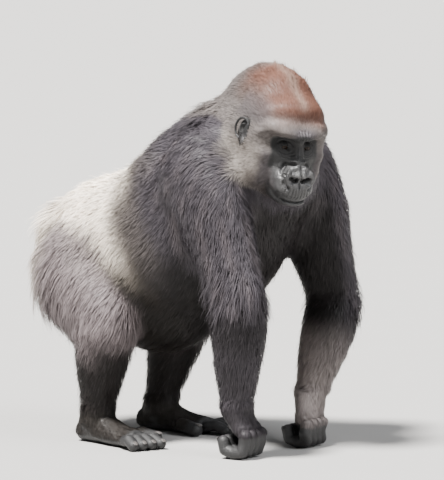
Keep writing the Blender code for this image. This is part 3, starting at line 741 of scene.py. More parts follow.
WING = [
    (0.016, -0.038), (0.034, -0.045), (0.047, -0.060),
    (0.050, -0.077), (0.044, -0.094), (0.033, -0.104),
]
RIM = [
    (0.012, -0.047), (0.030, -0.053), (0.041, -0.065),
    (0.0425, -0.078), (0.037, -0.090), (0.027, -0.097),
]
PAIRED_FOLDS = (
    ([(0.074, 0.044), (0.098, 0.034)], -0.0065, 0.0130),
    (WING, -0.0085, 0.0036),
    (RIM, 0.0060, 0.0046),
    ([(0.008, -0.050), (0.010, -0.068)], 0.0040, 0.0055),
    ([(0.0100, -0.0810), (0.0200, -0.0790), (0.0290, -0.0750)], -0.0135, 0.0050),
    ([(0.0085, -0.0830), (0.0330, -0.0745)], -0.0050, 0.0032),
    ([(0.010, -0.090), (0.024, -0.093)], 0.0022, 0.0034),
    ([(0.052, -0.058), (0.066, -0.085), (0.066, -0.120)], -0.0032, 0.0050),
    ([(0.0085, -0.103), (0.0095, -0.132)], -0.0028, 0.0016),
    ([(0.0175, -0.104), (0.0200, -0.130)], -0.0028, 0.0016),
    ([(0.0275, -0.107), (0.0310, -0.128)], -0.0024, 0.0017),
    ([(0.0380, -0.108), (0.0430, -0.126)], -0.0018, 0.0018),
    ([(0.0060, 0.012), (0.0075, -0.022)], -0.0014, 0.0018),
    ([(0.0045, 0.032), (0.0050, 0.050)], -0.0022, 0.0018),
    ([(0.0130, 0.034), (0.0145, 0.048)], -0.0018, 0.0018),
    ([(0.0220, 0.036), (0.0240, 0.046)], -0.0014, 0.0018),
    ([(0.0060, -0.0375), (0.0180, -0.0395), (0.0290, -0.0460)], -0.0014, 0.0014),
    ([(0.0050, -0.0415), (0.0180, -0.0430), (0.0300, -0.0490)], 0.0030, 0.0017),
    ([(0.0050, -0.0310), (0.0180, -0.0325), (0.0280, -0.0385)], 0.0022, 0.0016),
    ([(0.0040, -0.0265), (0.0150, -0.0275)], -0.0010, 0.0015),
    ([(0.0160, -0.055), (0.0200, -0.066)], -0.0016, 0.0014),
    ([(0.0260, -0.057), (0.0310, -0.068)], -0.0014, 0.0014),
)


# rings round the eye: height of the middle, radius across and up, height, first, last angle
EYE_RINGS = (
    (0.0, 0.0195 * 1.12, 0.0195 * 0.84, -0.0012, 205, 330),
    (0.0, 0.0262 * 1.12, 0.0262 * 0.84, -0.0013, 222, 318),
    (0.0, 0.0345 * 1.12, 0.0345 * 0.84, -0.0015, 212, 296),
    (0.001, 0.0215, 0.0165, -0.0020, 25, 160),
)
RING_WIDTH = 0.0018


def face_folds():
    """Grooves and ridges of the whole face, each a path in (out, up), a height and a width."""
    lips = lip_path()
    folds = [
        (lips, -0.0050, 0.0021),
        ([(x, z - 0.0070) for x, z in lips[1:-1]], 0.0030, 0.0038),
        ([(x, z + 0.0060) for x, z in lips[1:-1]], 0.0015, 0.0032),
        *MIDDLE_FOLDS,
    ]
    paired = list(PAIRED_FOLDS)
    for middle, across, high, height, first, last in EYE_RINGS:
        angles = np.radians(range(first, last, 12))
        arc = [(EYE_OUT + across * math.cos(a), middle + high * math.sin(a)) for a in angles]
        paired.append((arc, height, RING_WIDTH))
    for side in (RIGHT, LEFT):
        for path, height, width in paired:
            folds.append(([(side * x, z) for x, z in path], height, width))
    return folds


def fold_face(mesh):
    points = coordinates(mesh)
    normals = normals_of(mesh)
    head = in_head(points)
    facing = turned_to_head(normals)[:, 2]
    fade = ramp(0.055, 0.080, head[:, 2]) * ramp(-0.15, 0.25, facing)
    fade *= ramp(0.112, 0.088, np.abs(head[:, 0]))
    near = np.nonzero(fade > 0.001)[0]
    flat = head[near][:, :2]
    rise = np.zeros(len(near))
    for path, height, width in face_folds():
        rise += height * np.exp(-((segment_distance(flat, path) / width) ** 2))
    points[near] += normals[near] * (rise * fade[near])[:, None]
    set_coordinates(mesh, points)


def eye_centre(side):
    return np.array((side * EYE_OUT, 0.0, EYE_AHEAD))


def open_lids(mesh):
    """Draws the skin over each eyeball as two lids, with an opening between them."""
    points = coordinates(mesh)
    head = in_head(points)
    for side in (RIGHT, LEFT):
        ray = head - eye_centre(side)
        reach = np.linalg.norm(ray, axis=1)
        near = (reach < 0.027) & (ray[:, 2] > -0.004)
        old = reach[near]
        way = ray[near] / old[:, None]
        across = np.arctan2(way[:, 0] * side, way[:, 2]) + 0.02
        lift = np.arcsin(np.clip(way[:, 1], -1, 1)) - 0.10 * across + 0.03
        high = np.where(lift > 0, 0.27, 0.33)
        slit = 1 - (across / 0.74) ** 2 - (lift / high) ** 2
        lid = EYE_RADIUS + LID_STAND + 0.0009 * np.exp(-((slit + 0.25) / 0.25) ** 2)
        soft = ramp(-0.10, 0.06, slit)
        wanted = lid + (EYE_RADIUS - SLIT_DEPTH - lid) * soft
        new = np.where(soft > 0.5, np.minimum(old, wanted), np.maximum(old, wanted))
        new = np.where((soft > 0.02) & (soft <= 0.98), wanted, new)
        new = old + (new - old) * np.maximum(ramp(0.026, 0.019, old), soft > 0.02)
        head[near] = eye_centre(side) + way * new[:, None]
    local = np.stack([head[:, 0], -head[:, 2], head[:, 1]], axis=1)
    set_coordinates(mesh, local @ HEAD_AXES.T + HEAD_ORIGIN)


def fused(obj, grain):
    remesh = obj.modifiers.new("fuse", "REMESH")
    remesh.mode, remesh.voxel_size = "VOXEL", grain


def make_ear(side):
    """A cupped ear: curled rim, inner ridge, hollow shell and lobe."""
    bm = bmesh.new()
    root = at(0.018, 0.016, side * 0.1165)

    def bead(offset, radii, turn=0.0):
        place = HEAD_MATRIX @ Matrix.Translation(root + offset)
        place = place @ Euler((0, 0, math.radians(turn))).to_matrix().to_4x4()
        place = place @ Matrix.Diagonal((*radii, 1))
        bmesh.ops.create_uvsphere(bm, u_segments=16, v_segments=10, radius=1, matrix=place)

    def curl(count, first, step, back_place, back_reach, up_place, up_reach, stand, cup, radius):
        path = []
        for i in range(count):
            a = math.radians(first + i * step)
            back = back_place + back_reach * math.cos(a)
            out = side * (stand + max(back, 0) * cup)
            path.append(at(-back, up_place + up_reach * math.sin(a), out))
        for start, end in zip(path[:-1], path[1:]):
            for i in range(4):
                bead(start.lerp(end, i / 4), (radius,) * 3)

    curl(12, -70, 22, 0.012, 0.021, 0.004, 0.031, 0.004, 0.55, 0.0036)
    curl(7, -60, 26, 0.010, 0.011, 0.001, 0.017, 0.003, 0.50, 0.0026)
    bead(at(-0.012, 0.002, side * 0.003), (0.0035, 0.019, 0.029), side * -28)
    bead(at(-0.006, -0.030, side * 0.005), (0.0058, 0.0085, 0.0110))
    bead(at(0.008, -0.010, side * 0.003), (0.0050, 0.0050, 0.0085))
    ear = new_object("ear_" + SIDE_NAMES[side] + "_skin", closed(bm, bpy.data.meshes.new("ear")))
    fused(ear, EAR_GRAIN)
    smooth = ear.modifiers.new("smooth", "SMOOTH")
    smooth.factor, smooth.iterations = 0.5, 5
    return shaped(ear)


def main_shell(mesh):
    """Keeps the outer shell and drops what the closing left inside."""
    start, end = edges_of(mesh).T
    label = np.arange(len(mesh.vertices))
    while True:
        low = np.minimum(label[start], label[end])
        new = label.copy()
        np.minimum.at(new, start, low)
        np.minimum.at(new, end, low)
        new = new[new]
        if (new == label).all():
            break
        label = new
    inside = np.nonzero(label != np.bincount(label).argmax())[0]
    bm = opened(mesh)
    bm.verts.ensure_lookup_table()
    bmesh.ops.delete(bm, geom=[bm.verts[i] for i in inside], context="VERTS")
    closed(bm, mesh)


def in_face(head):
    out, up, ahead = np.abs(head[:, 0]), *head[:, 1:].T
    return (ahead > 0.050) & (out < 0.090) & (up > -0.185) & (up < 0.055)


def round_eyes(head):
    near = np.zeros(len(head), bool)
    for side in (RIGHT, LEFT):
        gap = np.linalg.norm(head - eye_centre(side), axis=1)
        near |= (gap < 0.024) & (head[:, 2] > EYE_AHEAD - 0.006)
    return near


def in_digits(points):
    low = np.nonzero(points[:, 2] < 0.12)[0]
    near = np.zeros(len(points), bool)
    near[low] = near_digits(points[low])[0] < 0.010
    return near


def soften(mesh, rounds, weight):
    set_coordinates(mesh, averaged(coordinates(mesh), edges_of(mesh), rounds, weight))


def build_skin(grain):
    names = [n for n in NODES if not n.startswith("ear_")]
    skin = new_object("skin", joined_solids(names))
    fused(skin, grain)
    mesh = shaped(skin).data
    main_shell(mesh)
    points, edges = coordinates(mesh), edges_of(mesh)
    forms = forms_of(node_at(points))
    out, up, ahead = split_head(points)
    # 1 where the skin keeps its shape: face, hands and feet
    detail = (forms == "head") * ramp(0.02, 0.06, ahead)
    outer = ramp(0.076, 0.094, out) * ramp(-0.03, 0.0, up)
    detail *= 1 - 0.85 * np.maximum(outer, ramp(0.046, 0.062, up))
    fine = np.isin(forms, ("hand", "foot")) * 1.0
    detail = averaged(np.maximum(detail, fine), edges, 6, 0.5)
    soften(mesh, 5, 0.5)
    soften(mesh, 45, 0.5 * (1 - detail))
    # in from the outline by the depth of the coat
    depth = np.array([COAT_FORMS[form][1] for form in forms])
    depth *= 1 - bareness(coordinates(mesh), normals_of(mesh), forms)
    depth = averaged(depth, edges, 14, 0.5)
    set_coordinates(mesh, coordinates(mesh) - normals_of(mesh) * depth[:, None])
    soften(mesh, 10, 0.5 * (1 - detail))
    for chosen in (in_face, in_face, round_eyes):
        refine(mesh, chosen)
    refine(mesh, in_digits, world=True)
    inside = in_face(in_head(coordinates(mesh)))
    soften(mesh, 8, 0.5 * inside)
    shape_digits(mesh)
    fold_face(mesh)
    open_lids(mesh)
    soften(mesh, 1, 0.35 * inside)
    return skin


class GORILLA_OT_skin(bpy.types.Operator):
    """Builds the one skin over the whole figure, with the face's folds, lids and ears"""

    bl_idname = "gorilla.skin"
    bl_label = "Skin"

    def execute(self, context):
        skin = build_skin(skin_settings().body_grain)
        mesh = skin.data
        bm = opened(mesh)
        for ear in (make_ear(RIGHT), make_ear(LEFT)):
            bm.from_mesh(ear.data)
            bpy.data.objects.remove(ear)
        smooth_shaded(closed(bm, mesh))
        points, normals = coordinates(mesh), normals_of(mesh)
        forms = forms_of(node_at(points))
        tone = blended_markings(points, normals, forms, edges_of(mesh))
        # coat colour with painted light and shade on some parts
        set_attribute(mesh, "Marking", "FLOAT_COLOR", np.hstack([tone, np.ones((len(tone), 1))]))
        set_attribute(mesh, "Bare", "FLOAT", bareness(points, normals, forms))
        # lightness and gloss of bare skin: painted light on nose, muzzle and ear lobes, painted
        # shade round the eyes
        set_attribute(mesh, "GlossAndPaintedLight", "FLOAT", polish_of(points, forms))
        mesh.materials.clear()
        mesh.materials.append(skin_material())
        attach(skin, "root")
        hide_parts(*FLESH)
        return {"FINISHED"}


# ---- Eyes and nails ----
CORNEA_RISE, CORNEA_REACH = 0.0011, 0.0062
FINGERNAIL_HALF, THUMBNAIL_HALF, TOENAIL_SHARE = 0.0072, 0.0062, 0.46
NAIL_STEPS, NAIL_THICKNESS = 8, 0.0013


class GORILLA_OT_eyes(bpy.types.Operator):
    """Makes both eyeballs, with the cornea's bulge"""

    bl_idname = "gorilla.eyes"
    bl_label = "Eyes"

    def execute(self, context):
        material = eye_material()
        gaze = HEAD_TURN @ at(1.0, -0.10, -0.12)
        turn = gaze.to_track_quat("Z", "Y").to_matrix().to_4x4()
        for side in (RIGHT, LEFT):
            bm = bmesh.new()
            bmesh.ops.create_uvsphere(bm, u_segments=48, v_segments=32, radius=EYE_RADIUS)
            for vertex in bm.verts:
                if vertex.co.z > 0:
                    edge = math.hypot(vertex.co.x, vertex.co.y)
                    vertex.co.z += CORNEA_RISE * math.exp(-((edge / CORNEA_REACH) ** 2))
            mesh = closed(bm, bpy.data.meshes.new("eyeball"))
            smooth_shaded(mesh)
            mesh.materials.append(material)
            eye = new_object("eyeball_" + SIDE_NAMES[side], mesh)
            eye.matrix_world = Matrix.Translation(on_head(EYE_AHEAD, 0, side * EYE_OUT)) @ turn
            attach(eye, "root")
            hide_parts("eye_" + SIDE_NAMES[side])
        return {"FINISHED"}


def nail_spots():
    """Place, way to the tip, way out of the flesh, digit's radius and half width of each nail."""
    spots = []
    for side in (RIGHT, LEFT):
        fingers = finger_paths(side)
        digits = [(digit, Vector((0, 1, 0)), FINGERNAIL_HALF) for digit in fingers[:4]]
        digits += [(digit, Vector((0, -1, 0)), THUMBNAIL_HALF) for digit in fingers[4:]]
        for digit in toe_paths(side):
            digits.append((digit, Vector((0, 0, 1)), digit[1] * TOENAIL_SHARE))
        for (path, radius), out, half in digits:
            way = (path[-1] - path[-2]).normalized()
            out = (out - way * way.dot(out)).normalized()
            spots.append((path[-1] + way * radius * 0.45, way, out, radius, half))
    return spots


class GORILLA_OT_nails(bpy.types.Operator):
    """Makes the nails, curved plates set in the tips of fingers and toes"""

    bl_idname = "gorilla.nails"
    bl_label = "Nails"

    def execute(self, context):
        bm = bmesh.new()
        shares = [i / NAIL_STEPS * 2 - 1 for i in range(NAIL_STEPS + 1)]
        for place, way, out, radius, half in nail_spots():
            side = way.cross(out)
            rows = []
            for u in shares:
                row = []
                for v in shares:
                    x, y = u * half * (1 - 0.14 * v * v), v * half * 1.05 * (1 - 0.22 * u * u)
                    rise = math.sqrt(max(radius**2 - x * x, 0)) - 0.0035 * max(v, -0.2) ** 2
                    rise += 0.0004 - 0.0015 * max(-v - 0.5, 0)
                    row.append(bm.verts.new(place + side * x + way * y + out * rise))
                rows.append(row)
            for a, b in zip(rows[:-1], rows[1:]):
                for j in range(NAIL_STEPS):
                    bm.faces.new((a[j], a[j + 1], b[j + 1], b[j]))
        bmesh.ops.recalc_face_normals(bm, faces=bm.faces)
        nails = new_object("nails", closed(bm, bpy.data.meshes.new("nails")))
        plate = nails.modifiers.new("plate", "SOLIDIFY")
        plate.thickness, plate.offset = NAIL_THICKNESS, 0
        rounded = nails.modifiers.new("rounded", "SUBSURF")
        rounded.levels = rounded.render_levels = 1
        smooth_shaded(shaped(nails).data)
        nails.data.materials.append(nail_material())
        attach(nails, "root")
        return {"FINISHED"}


# ---- The coat ----
# seeds of the random draws, and how much the locks swerve from the lie of the hair
HIDE_SEED, TUFT_SEED = 11, 100
LOCK_SWERVE = 0.08


def neighbour_table(count, edges, width=9):
    """The neighbours of each point in one table, filled up with the point itself."""
    ends = np.concatenate([edges, edges[:, ::-1]])
    ends = ends[np.argsort(ends[:, 0], kind="stable")]
    first = np.searchsorted(ends[:, 0], np.arange(count))
    rank = np.arange(len(ends)) - first[ends[:, 0]]
    table = np.tile(np.arange(count)[:, None], (1, width))
    keep = rank < width - 1
    table[ends[keep, 0], rank[keep] + 1] = ends[keep, 1]
    return table


class Hide:
    """The finished skin as arrays: what the tufts grow from and lie along."""

    def __init__(self, mesh):
        mesh.calc_loop_triangles()
        self.faces = read(mesh.loop_triangles, "vertices", 3, np.int32)
        self.points, self.normals = coordinates(mesh), normals_of(mesh)
        count, edges = len(self.points), edges_of(mesh)
        self.table = neighbour_table(count, edges)
        self.nodes = node_at(self.points)
        forms = forms_of(self.nodes)
        self.bare = bareness(self.points, self.normals, forms)
        values = averaged(np.array([COAT_FORMS[form] for form in forms]), edges, 12, 0.5)
        self.length, self.depth, crowd, self.width = values.T
        rng = np.random.default_rng(HIDE_SEED)
        clumps = averaged(rng.normal(size=count), edges, 5, 0.5)
        ragged = 0.25 + 1.1 * ramp(-0.5, 1.4, clumps / clumps.std())
        for place, reach, longer, higher in fringes():
            gap = np.linalg.norm(self.points - np.array(place), axis=1)
            share = np.exp(-((gap / reach) ** 2)) * (ragged if higher > 0 else 1)
            self.length = self.length * (1 + longer * share)
            self.depth = self.depth * (1 + higher * share)
        locks = averaged(rng.normal(size=(count, 3)), edges, 14, 0.5)
        run = lie_of_hair(self.points, self.normals) + LOCK_SWERVE * locks / locks.std()
        self.run = unit(along_skin(run, self.normals))
        swell = averaged(rng.normal(size=count), edges, 22, 0.5)
        self.swell = swell / swell.std()
        self.tone = blended_markings(self.points, self.normals, forms, edges)
        a, b, c = self.points[self.faces].transpose(1, 0, 2)
        area = np.linalg.norm(np.cross(b - a, c - a), axis=1) / 2
        cover = crowd**2 * (1 - ramp(0.25, 0.9, self.bare))
        self.wanted = area * cover[self.faces].mean(axis=1)

    def step(self, spots, places):
        """The mesh point nearest to each place, reached from the last one found."""
        for _ in range(3):
            near = self.table[spots]
            gap = ((self.points[near] - places[:, None, :]) ** 2).sum(axis=2)
            spots = near[np.arange(len(spots)), gap.argmin(axis=1)]
        return spots


# most rise over the skin, share of the skin's normal in a tuft's own, share of strays
HIGHEST, EVEN, STRAYS = 0.040, 0.55, 0.07
# how deep a root sits, and the rings of a tuft with their widths
ROOT_SINK = 0.0008
LEVELS = (0.0, 0.30, 0.58, 0.82, 1.0)
PROFILE = (0.75, 1.0, 0.85, 0.50)


def grow(hide, faces, rng):
    """Tufts rooted on the given faces: their points, the way these face, and their roots."""
    count = len(faces)
    mix = rng.dirichlet((1, 1, 1), count)
    corner = hide.faces[faces]

    def at_root(values):
        return (values[corner] * mix.reshape(count, 3, *([1] * (values.ndim - 1)))).sum(axis=1)

    place = at_root(hide.points)
    spots = corner[np.arange(count), mix.argmax(axis=1)]
    way = unit(at_root(hide.run) + rng.normal(scale=0.13, size=(count, 3)))
    thin = ramp(0.0, 0.6, at_root(hide.bare))
    length = at_root(hide.length) * rng.uniform(0.65, 1.25, count) * (1 - 0.55 * thin)
    swell = at_root(hide.swell)
    tall = at_root(hide.depth) * (0.62 + 0.38 * rng.random(count) + 0.10 * swell)
    tall *= 1 - 0.7 * thin
    width = at_root(hide.width) * rng.uniform(0.75, 1.25, count)
    roll = rng.normal(scale=0.32, size=count)[:, None]
    stray = rng.random(count) < STRAYS
    tall *= 1 + 0.9 * stray
    length *= 1 + 0.2 * stray
    width *= 1 - 0.35 * stray
    tall = HIGHEST * np.tanh(tall / HIGHEST)
    last, rings, facing = 0.0, [], []
    for level, share in zip(LEVELS, PROFILE + (0,)):
        place = place + way * (length * (level - last))[:, None]
        last = level
        spots = hide.step(spots, place)
        normal = hide.normals[spots]
        off = ((place - hide.points[spots]) * normal).sum(axis=1)
        place = place - normal * off[:, None]
        way = unit(along_skin(unit(way * 0.6 + hide.run[spots] * 0.4), normal))
        lift = tall * (1 - (1 - level) ** 1.8) - ROOT_SINK * (level == 0)
        middle = place + normal * lift[:, None]
        if share:
            side = np.cross(way, normal) * np.cos(roll) + normal * np.sin(roll)
            half = side * (width * share * 0.5)[:, None]
            rings += [middle - half, middle + half]
            facing += [unit(np.cross(side, way) * (1 - EVEN) + normal * EVEN)] * 2
        else:
            rings.append(middle)
            facing.append(facing[-1])
    points, facing = (np.stack(rows, axis=1).reshape(-1, 3) for rows in (rings, facing))
    return points, facing, corner, mix


# three quads up the tuft and the triangle of its tip
TUFT_CORNERS = (0, 1, 3, 2) + (2, 3, 5, 4) + (4, 5, 7, 6) + (6, 7, 8)
TUFT_POINTS = 9


def tuft_mesh(name, points, count):
    base = (np.arange(count) * TUFT_POINTS)[:, None]
    loops = (base + np.array(TUFT_CORNERS)).ravel()
    starts = (np.arange(count) * len(TUFT_CORNERS))[:, None] + np.array((0, 4, 8, 12))
    mesh = bpy.data.meshes.new(name)
    mesh.vertices.add(len(points))
    mesh.loops.add(len(loops))
    mesh.polygons.add(starts.size)
    mesh.vertices.foreach_set("co", points.astype(np.float32).ravel())
    mesh.loops.foreach_set("vertex_index", loops.astype(np.int32))
    mesh.polygons.foreach_set("loop_start", starts.astype(np.int32).ravel())
    mesh.polygons.foreach_set("use_smooth", np.ones(starts.size, dtype=bool))
    mesh.update(calc_edges=True)
    return mesh, loops


def unwrapped(hide, chosen):
    """An unwrap of the chosen faces of the skin: one row of three corners for each."""
    faces = hide.faces[chosen]
    used, index = np.unique(faces, return_inverse=True)
    mesh = mesh_from("unwrap", hide.points[used], index.reshape(-1, 3).tolist())
    obj = new_object("unwrap", mesh)
    mesh.uv_layers.new(name="lay")
    bpy.ops.object.select_all(action="DESELECT")
    obj.select_set(True)
    bpy.context.view_layer.objects.active = obj
    bpy.ops.object.mode_set(mode="EDIT")
    bpy.ops.mesh.select_all(action="SELECT")
    bpy.ops.uv.smart_project(angle_limit=1.2, island_margin=0.004)
    bpy.ops.object.mode_set(mode="OBJECT")
    rows = read(mesh.uv_layers.active.data, "uv", 2).reshape(-1, 3, 2)
    bpy.data.objects.remove(obj)
    bpy.data.meshes.remove(mesh)
    return rows


# tufts at most in one piece, size of a tuft's patch on the map, lower edge of the crown
MOST_IN_PIECE = 28000
PATCH = 0.003
CROWN_EDGE = 0.055


def coat_pieces(hide):
    """Names of the coat's pieces, with the faces of the skin that each grows from."""
    face_node = hide.nodes[hide.faces[:, 0]]
    up = in_head(hide.points[hide.faces].mean(axis=1))[:, 1]
    groups = {
        "coat_" + str(node): face_node == node
        for node in np.unique(face_node)
        if form_of(node) not in ("head", "ear")
    }
    groups["coat_crown"] = (face_node == "head") & (up > CROWN_EDGE)
    groups["coat_cheeks"] = (face_node == "head") & (up <= CROWN_EDGE)
    return groups


class GORILLA_OT_coat(bpy.types.Operator):
    """Grows the coat over the skin, one piece for each part of the body"""

    bl_idname = "gorilla.coat"
    bl_label = "Coat"

    def execute(self, context):
        hide = Hide(bpy.data.objects["skin"].data)
        groups = coat_pieces(hide)
        total = sum(hide.wanted[chosen].sum() for chosen in groups.values())
        material = coat_material()
        along = np.array([level for level in LEVELS[:-1] for _ in (0, 1)] + [1.0])
        across = np.array((-0.5, 0.5) * 4 + (0.0,))
        patch = np.stack([across, along - 0.5], axis=1) * PATCH
        for index, (name, chosen) in enumerate(sorted(groups.items())):
            rng = np.random.default_rng(TUFT_SEED + index)
            wanted = hide.wanted * chosen
            count = min(int(coat_settings().tufts * wanted.sum() / total), MOST_IN_PIECE)
            faces = np.sort(rng.choice(len(wanted), count, p=wanted / wanted.sum()))
            points, facing, corner, mix = grow(hide, faces, rng)
            mesh, loops = tuft_mesh(name, points, count)
            mesh.normals_split_custom_set_from_vertices(facing)
            piece = new_object(name, mesh)
            row_of = np.cumsum(chosen) - 1
            spot = (unwrapped(hide, chosen)[row_of[faces]] * mix[:, :, None]).sum(axis=1)
            uv = (spot[:, None, :] + patch).reshape(-1, 2)[loops]
            layer = mesh.uv_layers.new(name="OFBake")
            layer.data.foreach_set("uv", uv.astype(np.float32).ravel())
            # each tuft's colour, with painted light and shade on some parts
            tone = np.ones((count, 4))
            tone[:, :3] = (hide.tone[corner] * mix[:, :, None]).sum(axis=1)
            set_attribute(mesh, "Marking", "FLOAT_COLOR", np.repeat(tone, TUFT_POINTS, axis=0))
            set_attribute(mesh, "Chance", "FLOAT", np.repeat(rng.random(count), TUFT_POINTS))
            set_attribute(mesh, "Along", "FLOAT", np.tile(along, count))
            mesh.materials.append(material)
            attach(piece, "root")
        return {"FINISHED"}


# ---- Materials ----
class Nodes:
    """Short ways to add and join nodes in one tree."""

    def __init__(self, tree):
        self.tree = tree

    def add(self, kind, settings=None, **inputs):
        node = self.tree.nodes.new("ShaderNode" + kind)
        for key, value in (settings or {}).items():
            setattr(node, key, value)
        self.feed(node, **inputs)
        return node

    def feed(self, node, **inputs):
        """Links sockets or sets plain values: Base_Color=..., or _0=... for a socket's number."""
        for key, value in inputs.items():
            name = key.replace("_", " ").strip()
            socket = node.inputs[int(name) if name.isdigit() else name]
            if isinstance(value, bpy.types.NodeSocket):
                self.tree.links.new(value, socket)
            else:
                socket.default_value = value

    def maths(self, operation, a, b=0.0):
        return self.add("Math", {"operation": operation}, _0=a, _1=b).outputs[0]

    def plus(self, a, b):
        return self.maths("ADD", a, b)

    def minus(self, a, b):
        return self.maths("SUBTRACT", a, b)

    def times(self, a, b):
        return self.maths("MULTIPLY", a, b)

    def ranged(self, value, low, high, to_low=0.0, to_high=1.0):
        node = self.add("MapRange", {"interpolation_type": "SMOOTHSTEP"}, Value=value)
        self.feed(node, From_Min=low, From_Max=high, To_Min=to_low, To_Max=to_high)
        return node.outputs[0]

    def mixed(self, share, first, second, blend="MIX"):
        settings = {"data_type": "RGBA", "blend_type": blend}
        return self.add("Mix", settings, _0=share, _6=first, _7=second).outputs[2]

    def noise(self, place, scale, detail, **inputs):
        node = self.add("TexNoise", Vector=place, Scale=scale, Detail=detail, **inputs)
        return node.outputs["Fac"]

    def place(self):
        return self.add("TexCoord").outputs["Object"]

    def attribute(self, name, output="Fac"):
        return self.add("Attribute", {"attribute_name": name}).outputs[output]


def new_material(name):
    material = bpy.data.materials.new(name)
    material.use_nodes = True
    material.node_tree.nodes.clear()
    nodes = Nodes(material.node_tree)
    shader = nodes.add("BsdfPrincipled")
    nodes.add("OutputMaterial", Surface=shader.outputs[0])
    return material, nodes, shader


def rgba(colour):
    return (*colour, 1.0)


def hair_tone_group():
    """Colour of hair from the colour given: darker at the root as painted shade deep in the coat,
    lighter at the tip, uneven between.
    """
    name = "Hair Tone"
    if name in bpy.data.node_groups:
        return bpy.data.node_groups[name]
    tree = bpy.data.node_groups.new(name, "ShaderNodeTree")
    socket = tree.interface.new_socket("Marking", in_out="INPUT", socket_type="NodeSocketColor")
    socket.default_value = (0.2, 0.2, 0.2, 1)
    for label, default in (
        ("Along", 0.5),
        ("Chance", 0.5),
        # Root Shade darkens the hair towards the root: painted shade deep in the coat
        ("Root Shade", 0.70),
        ("Tip Shade", 1.12),
        ("Spread", 0.34),
    ):
        socket = tree.interface.new_socket(label, in_out="INPUT", socket_type="NodeSocketFloat")
        socket.default_value = default
    for label, kind in (("Color", "NodeSocketColor"), ("Roughness", "NodeSocketFloat")):
        tree.interface.new_socket(label, in_out="OUTPUT", socket_type=kind)
    nodes = Nodes(tree)
    start = tree.nodes.new("NodeGroupInput").outputs
    end = tree.nodes.new("NodeGroupOutput")
    along, chance = start["Along"], start["Chance"]
    broad = nodes.noise(nodes.place(), 9.0, 3.0)
    # the tone rises from Root Shade to Tip Shade along the tuft, painted shade towards the root
    rise = nodes.maths("POWER", along, 0.6)
    span = nodes.minus(start["Tip Shade"], start["Root Shade"])
    shade = nodes.plus(start["Root Shade"], nodes.times(rise, span))
    uneven = nodes.times(start["Spread"], nodes.minus(chance, 0.5))
    patchy = nodes.ranged(broad, 0.3, 0.7, -0.12, 0.12)
    shade = nodes.times(shade, nodes.plus(1.0, nodes.plus(uneven, patchy)))
    grey = nodes.add("CombineColor", Red=shade, Green=shade, Blue=shade).outputs[0]
    colour = nodes.mixed(1.0, start["Marking"], grey, "MULTIPLY")
    white = nodes.times(nodes.ranged(chance, 0.84, 1.0, 0.0, 0.16), along)
    colour = nodes.mixed(white, colour, (0.17, 0.155, 0.162, 1))
    nodes.feed(end, Color=colour, Roughness=nodes.ranged(chance, 0.0, 1.0, 0.42, 0.62))
    return tree


def coat_material():
    material, nodes, shader = new_material("coat_hair")
    tone = nodes.add("Group", {"node_tree": hair_tone_group()})
    marking_and_painted_light = nodes.attribute("Marking", "Color")
    nodes.feed(
        tone, Marking=marking_and_painted_light, Along=nodes.attribute("Along"), Chance=nodes.attribute("Chance")
    )
    nodes.feed(shader, Base_Color=tone.outputs["Color"], Roughness=tone.outputs["Roughness"])
    nodes.feed(shader, Specular_IOR_Level=0.16)
    return material


def skin_material():
    settings = skin_settings()
    material, nodes, shader = new_material("skin_hide")
    place = nodes.place()
    bare = nodes.attribute("Bare")
    tone = nodes.add("Group", {"node_tree": hair_tone_group()})
    marking_and_painted_light = nodes.attribute("Marking", "Color")
    # the skin under the coat is 0.8 of the hair's tone: painted shade under the coat
    nodes.feed(tone, Marking=marking_and_painted_light, Along=0.0, Root_Shade=0.80, Tip_Shade=0.80)
    # painted light and real gloss: nose, muzzle and ear lobes lighter and glossier, the skin round
    # the eyes dark as painted shade
    gloss_and_painted_light = nodes.attribute("GlossAndPaintedLight")
    blotch = nodes.noise(place, 60.0, 6.0)
    lighter = nodes.times(nodes.ranged(blotch, 0.32, 0.68, 0.55, 1.0), gloss_and_painted_light)
    slate = nodes.mixed(lighter, rgba(settings.face_slate), rgba(settings.face_light))
    pores = nodes.noise(place, 520.0, 3.0)
    creases = nodes.add("TexVoronoi", {"feature": "DISTANCE_TO_EDGE"}, Vector=place, Scale=330.0)
    crease = nodes.ranged(creases.outputs["Distance"], 0.0, 0.16, 0.0, 0.22)
    wrinkles = nodes.noise(place, 170.0, 4.0, Distortion=1.2)
    height = nodes.plus(nodes.plus(nodes.times(pores, 0.5), crease), nodes.times(wrinkles, 1.8))
    bump = nodes.add("Bump", Height=nodes.times(height, bare), Strength=0.75, Distance=0.0012)
    glossy = nodes.minus(0.58, nodes.times(gloss_and_painted_light, 0.36))
    glossy = nodes.plus(glossy, nodes.ranged(blotch, 0.3, 0.7, -0.05, 0.07))
    rough = nodes.add("Mix", {"data_type": "FLOAT"}, _0=bare, _2=0.8, _3=glossy)
    nodes.feed(
        shader,
        Base_Color=nodes.mixed(bare, tone.outputs["Color"], slate),
        Normal=bump.outputs[0],
        Roughness=rough.outputs[0],
        Specular_IOR_Level=0.35,
        Coat_Weight=nodes.times(gloss_and_painted_light, 0.45),
        Coat_Roughness=0.26,
    )
    return material


def nail_material():
    dark = skin_settings().nail_colour
    light = tuple(min(c * 2.2, 1) for c in dark)
    material, nodes, shader = new_material("nail_horn")
    streaks = nodes.noise(nodes.place(), 260.0, 3.0)
    colour = nodes.mixed(nodes.ranged(streaks, 0.35, 0.7), rgba(dark), rgba(light))
    bump = nodes.add("Bump", Height=streaks, Strength=0.25, Distance=0.0006)
    nodes.feed(shader, Base_Color=colour, Normal=bump.outputs[0], Roughness=0.32)
    return material


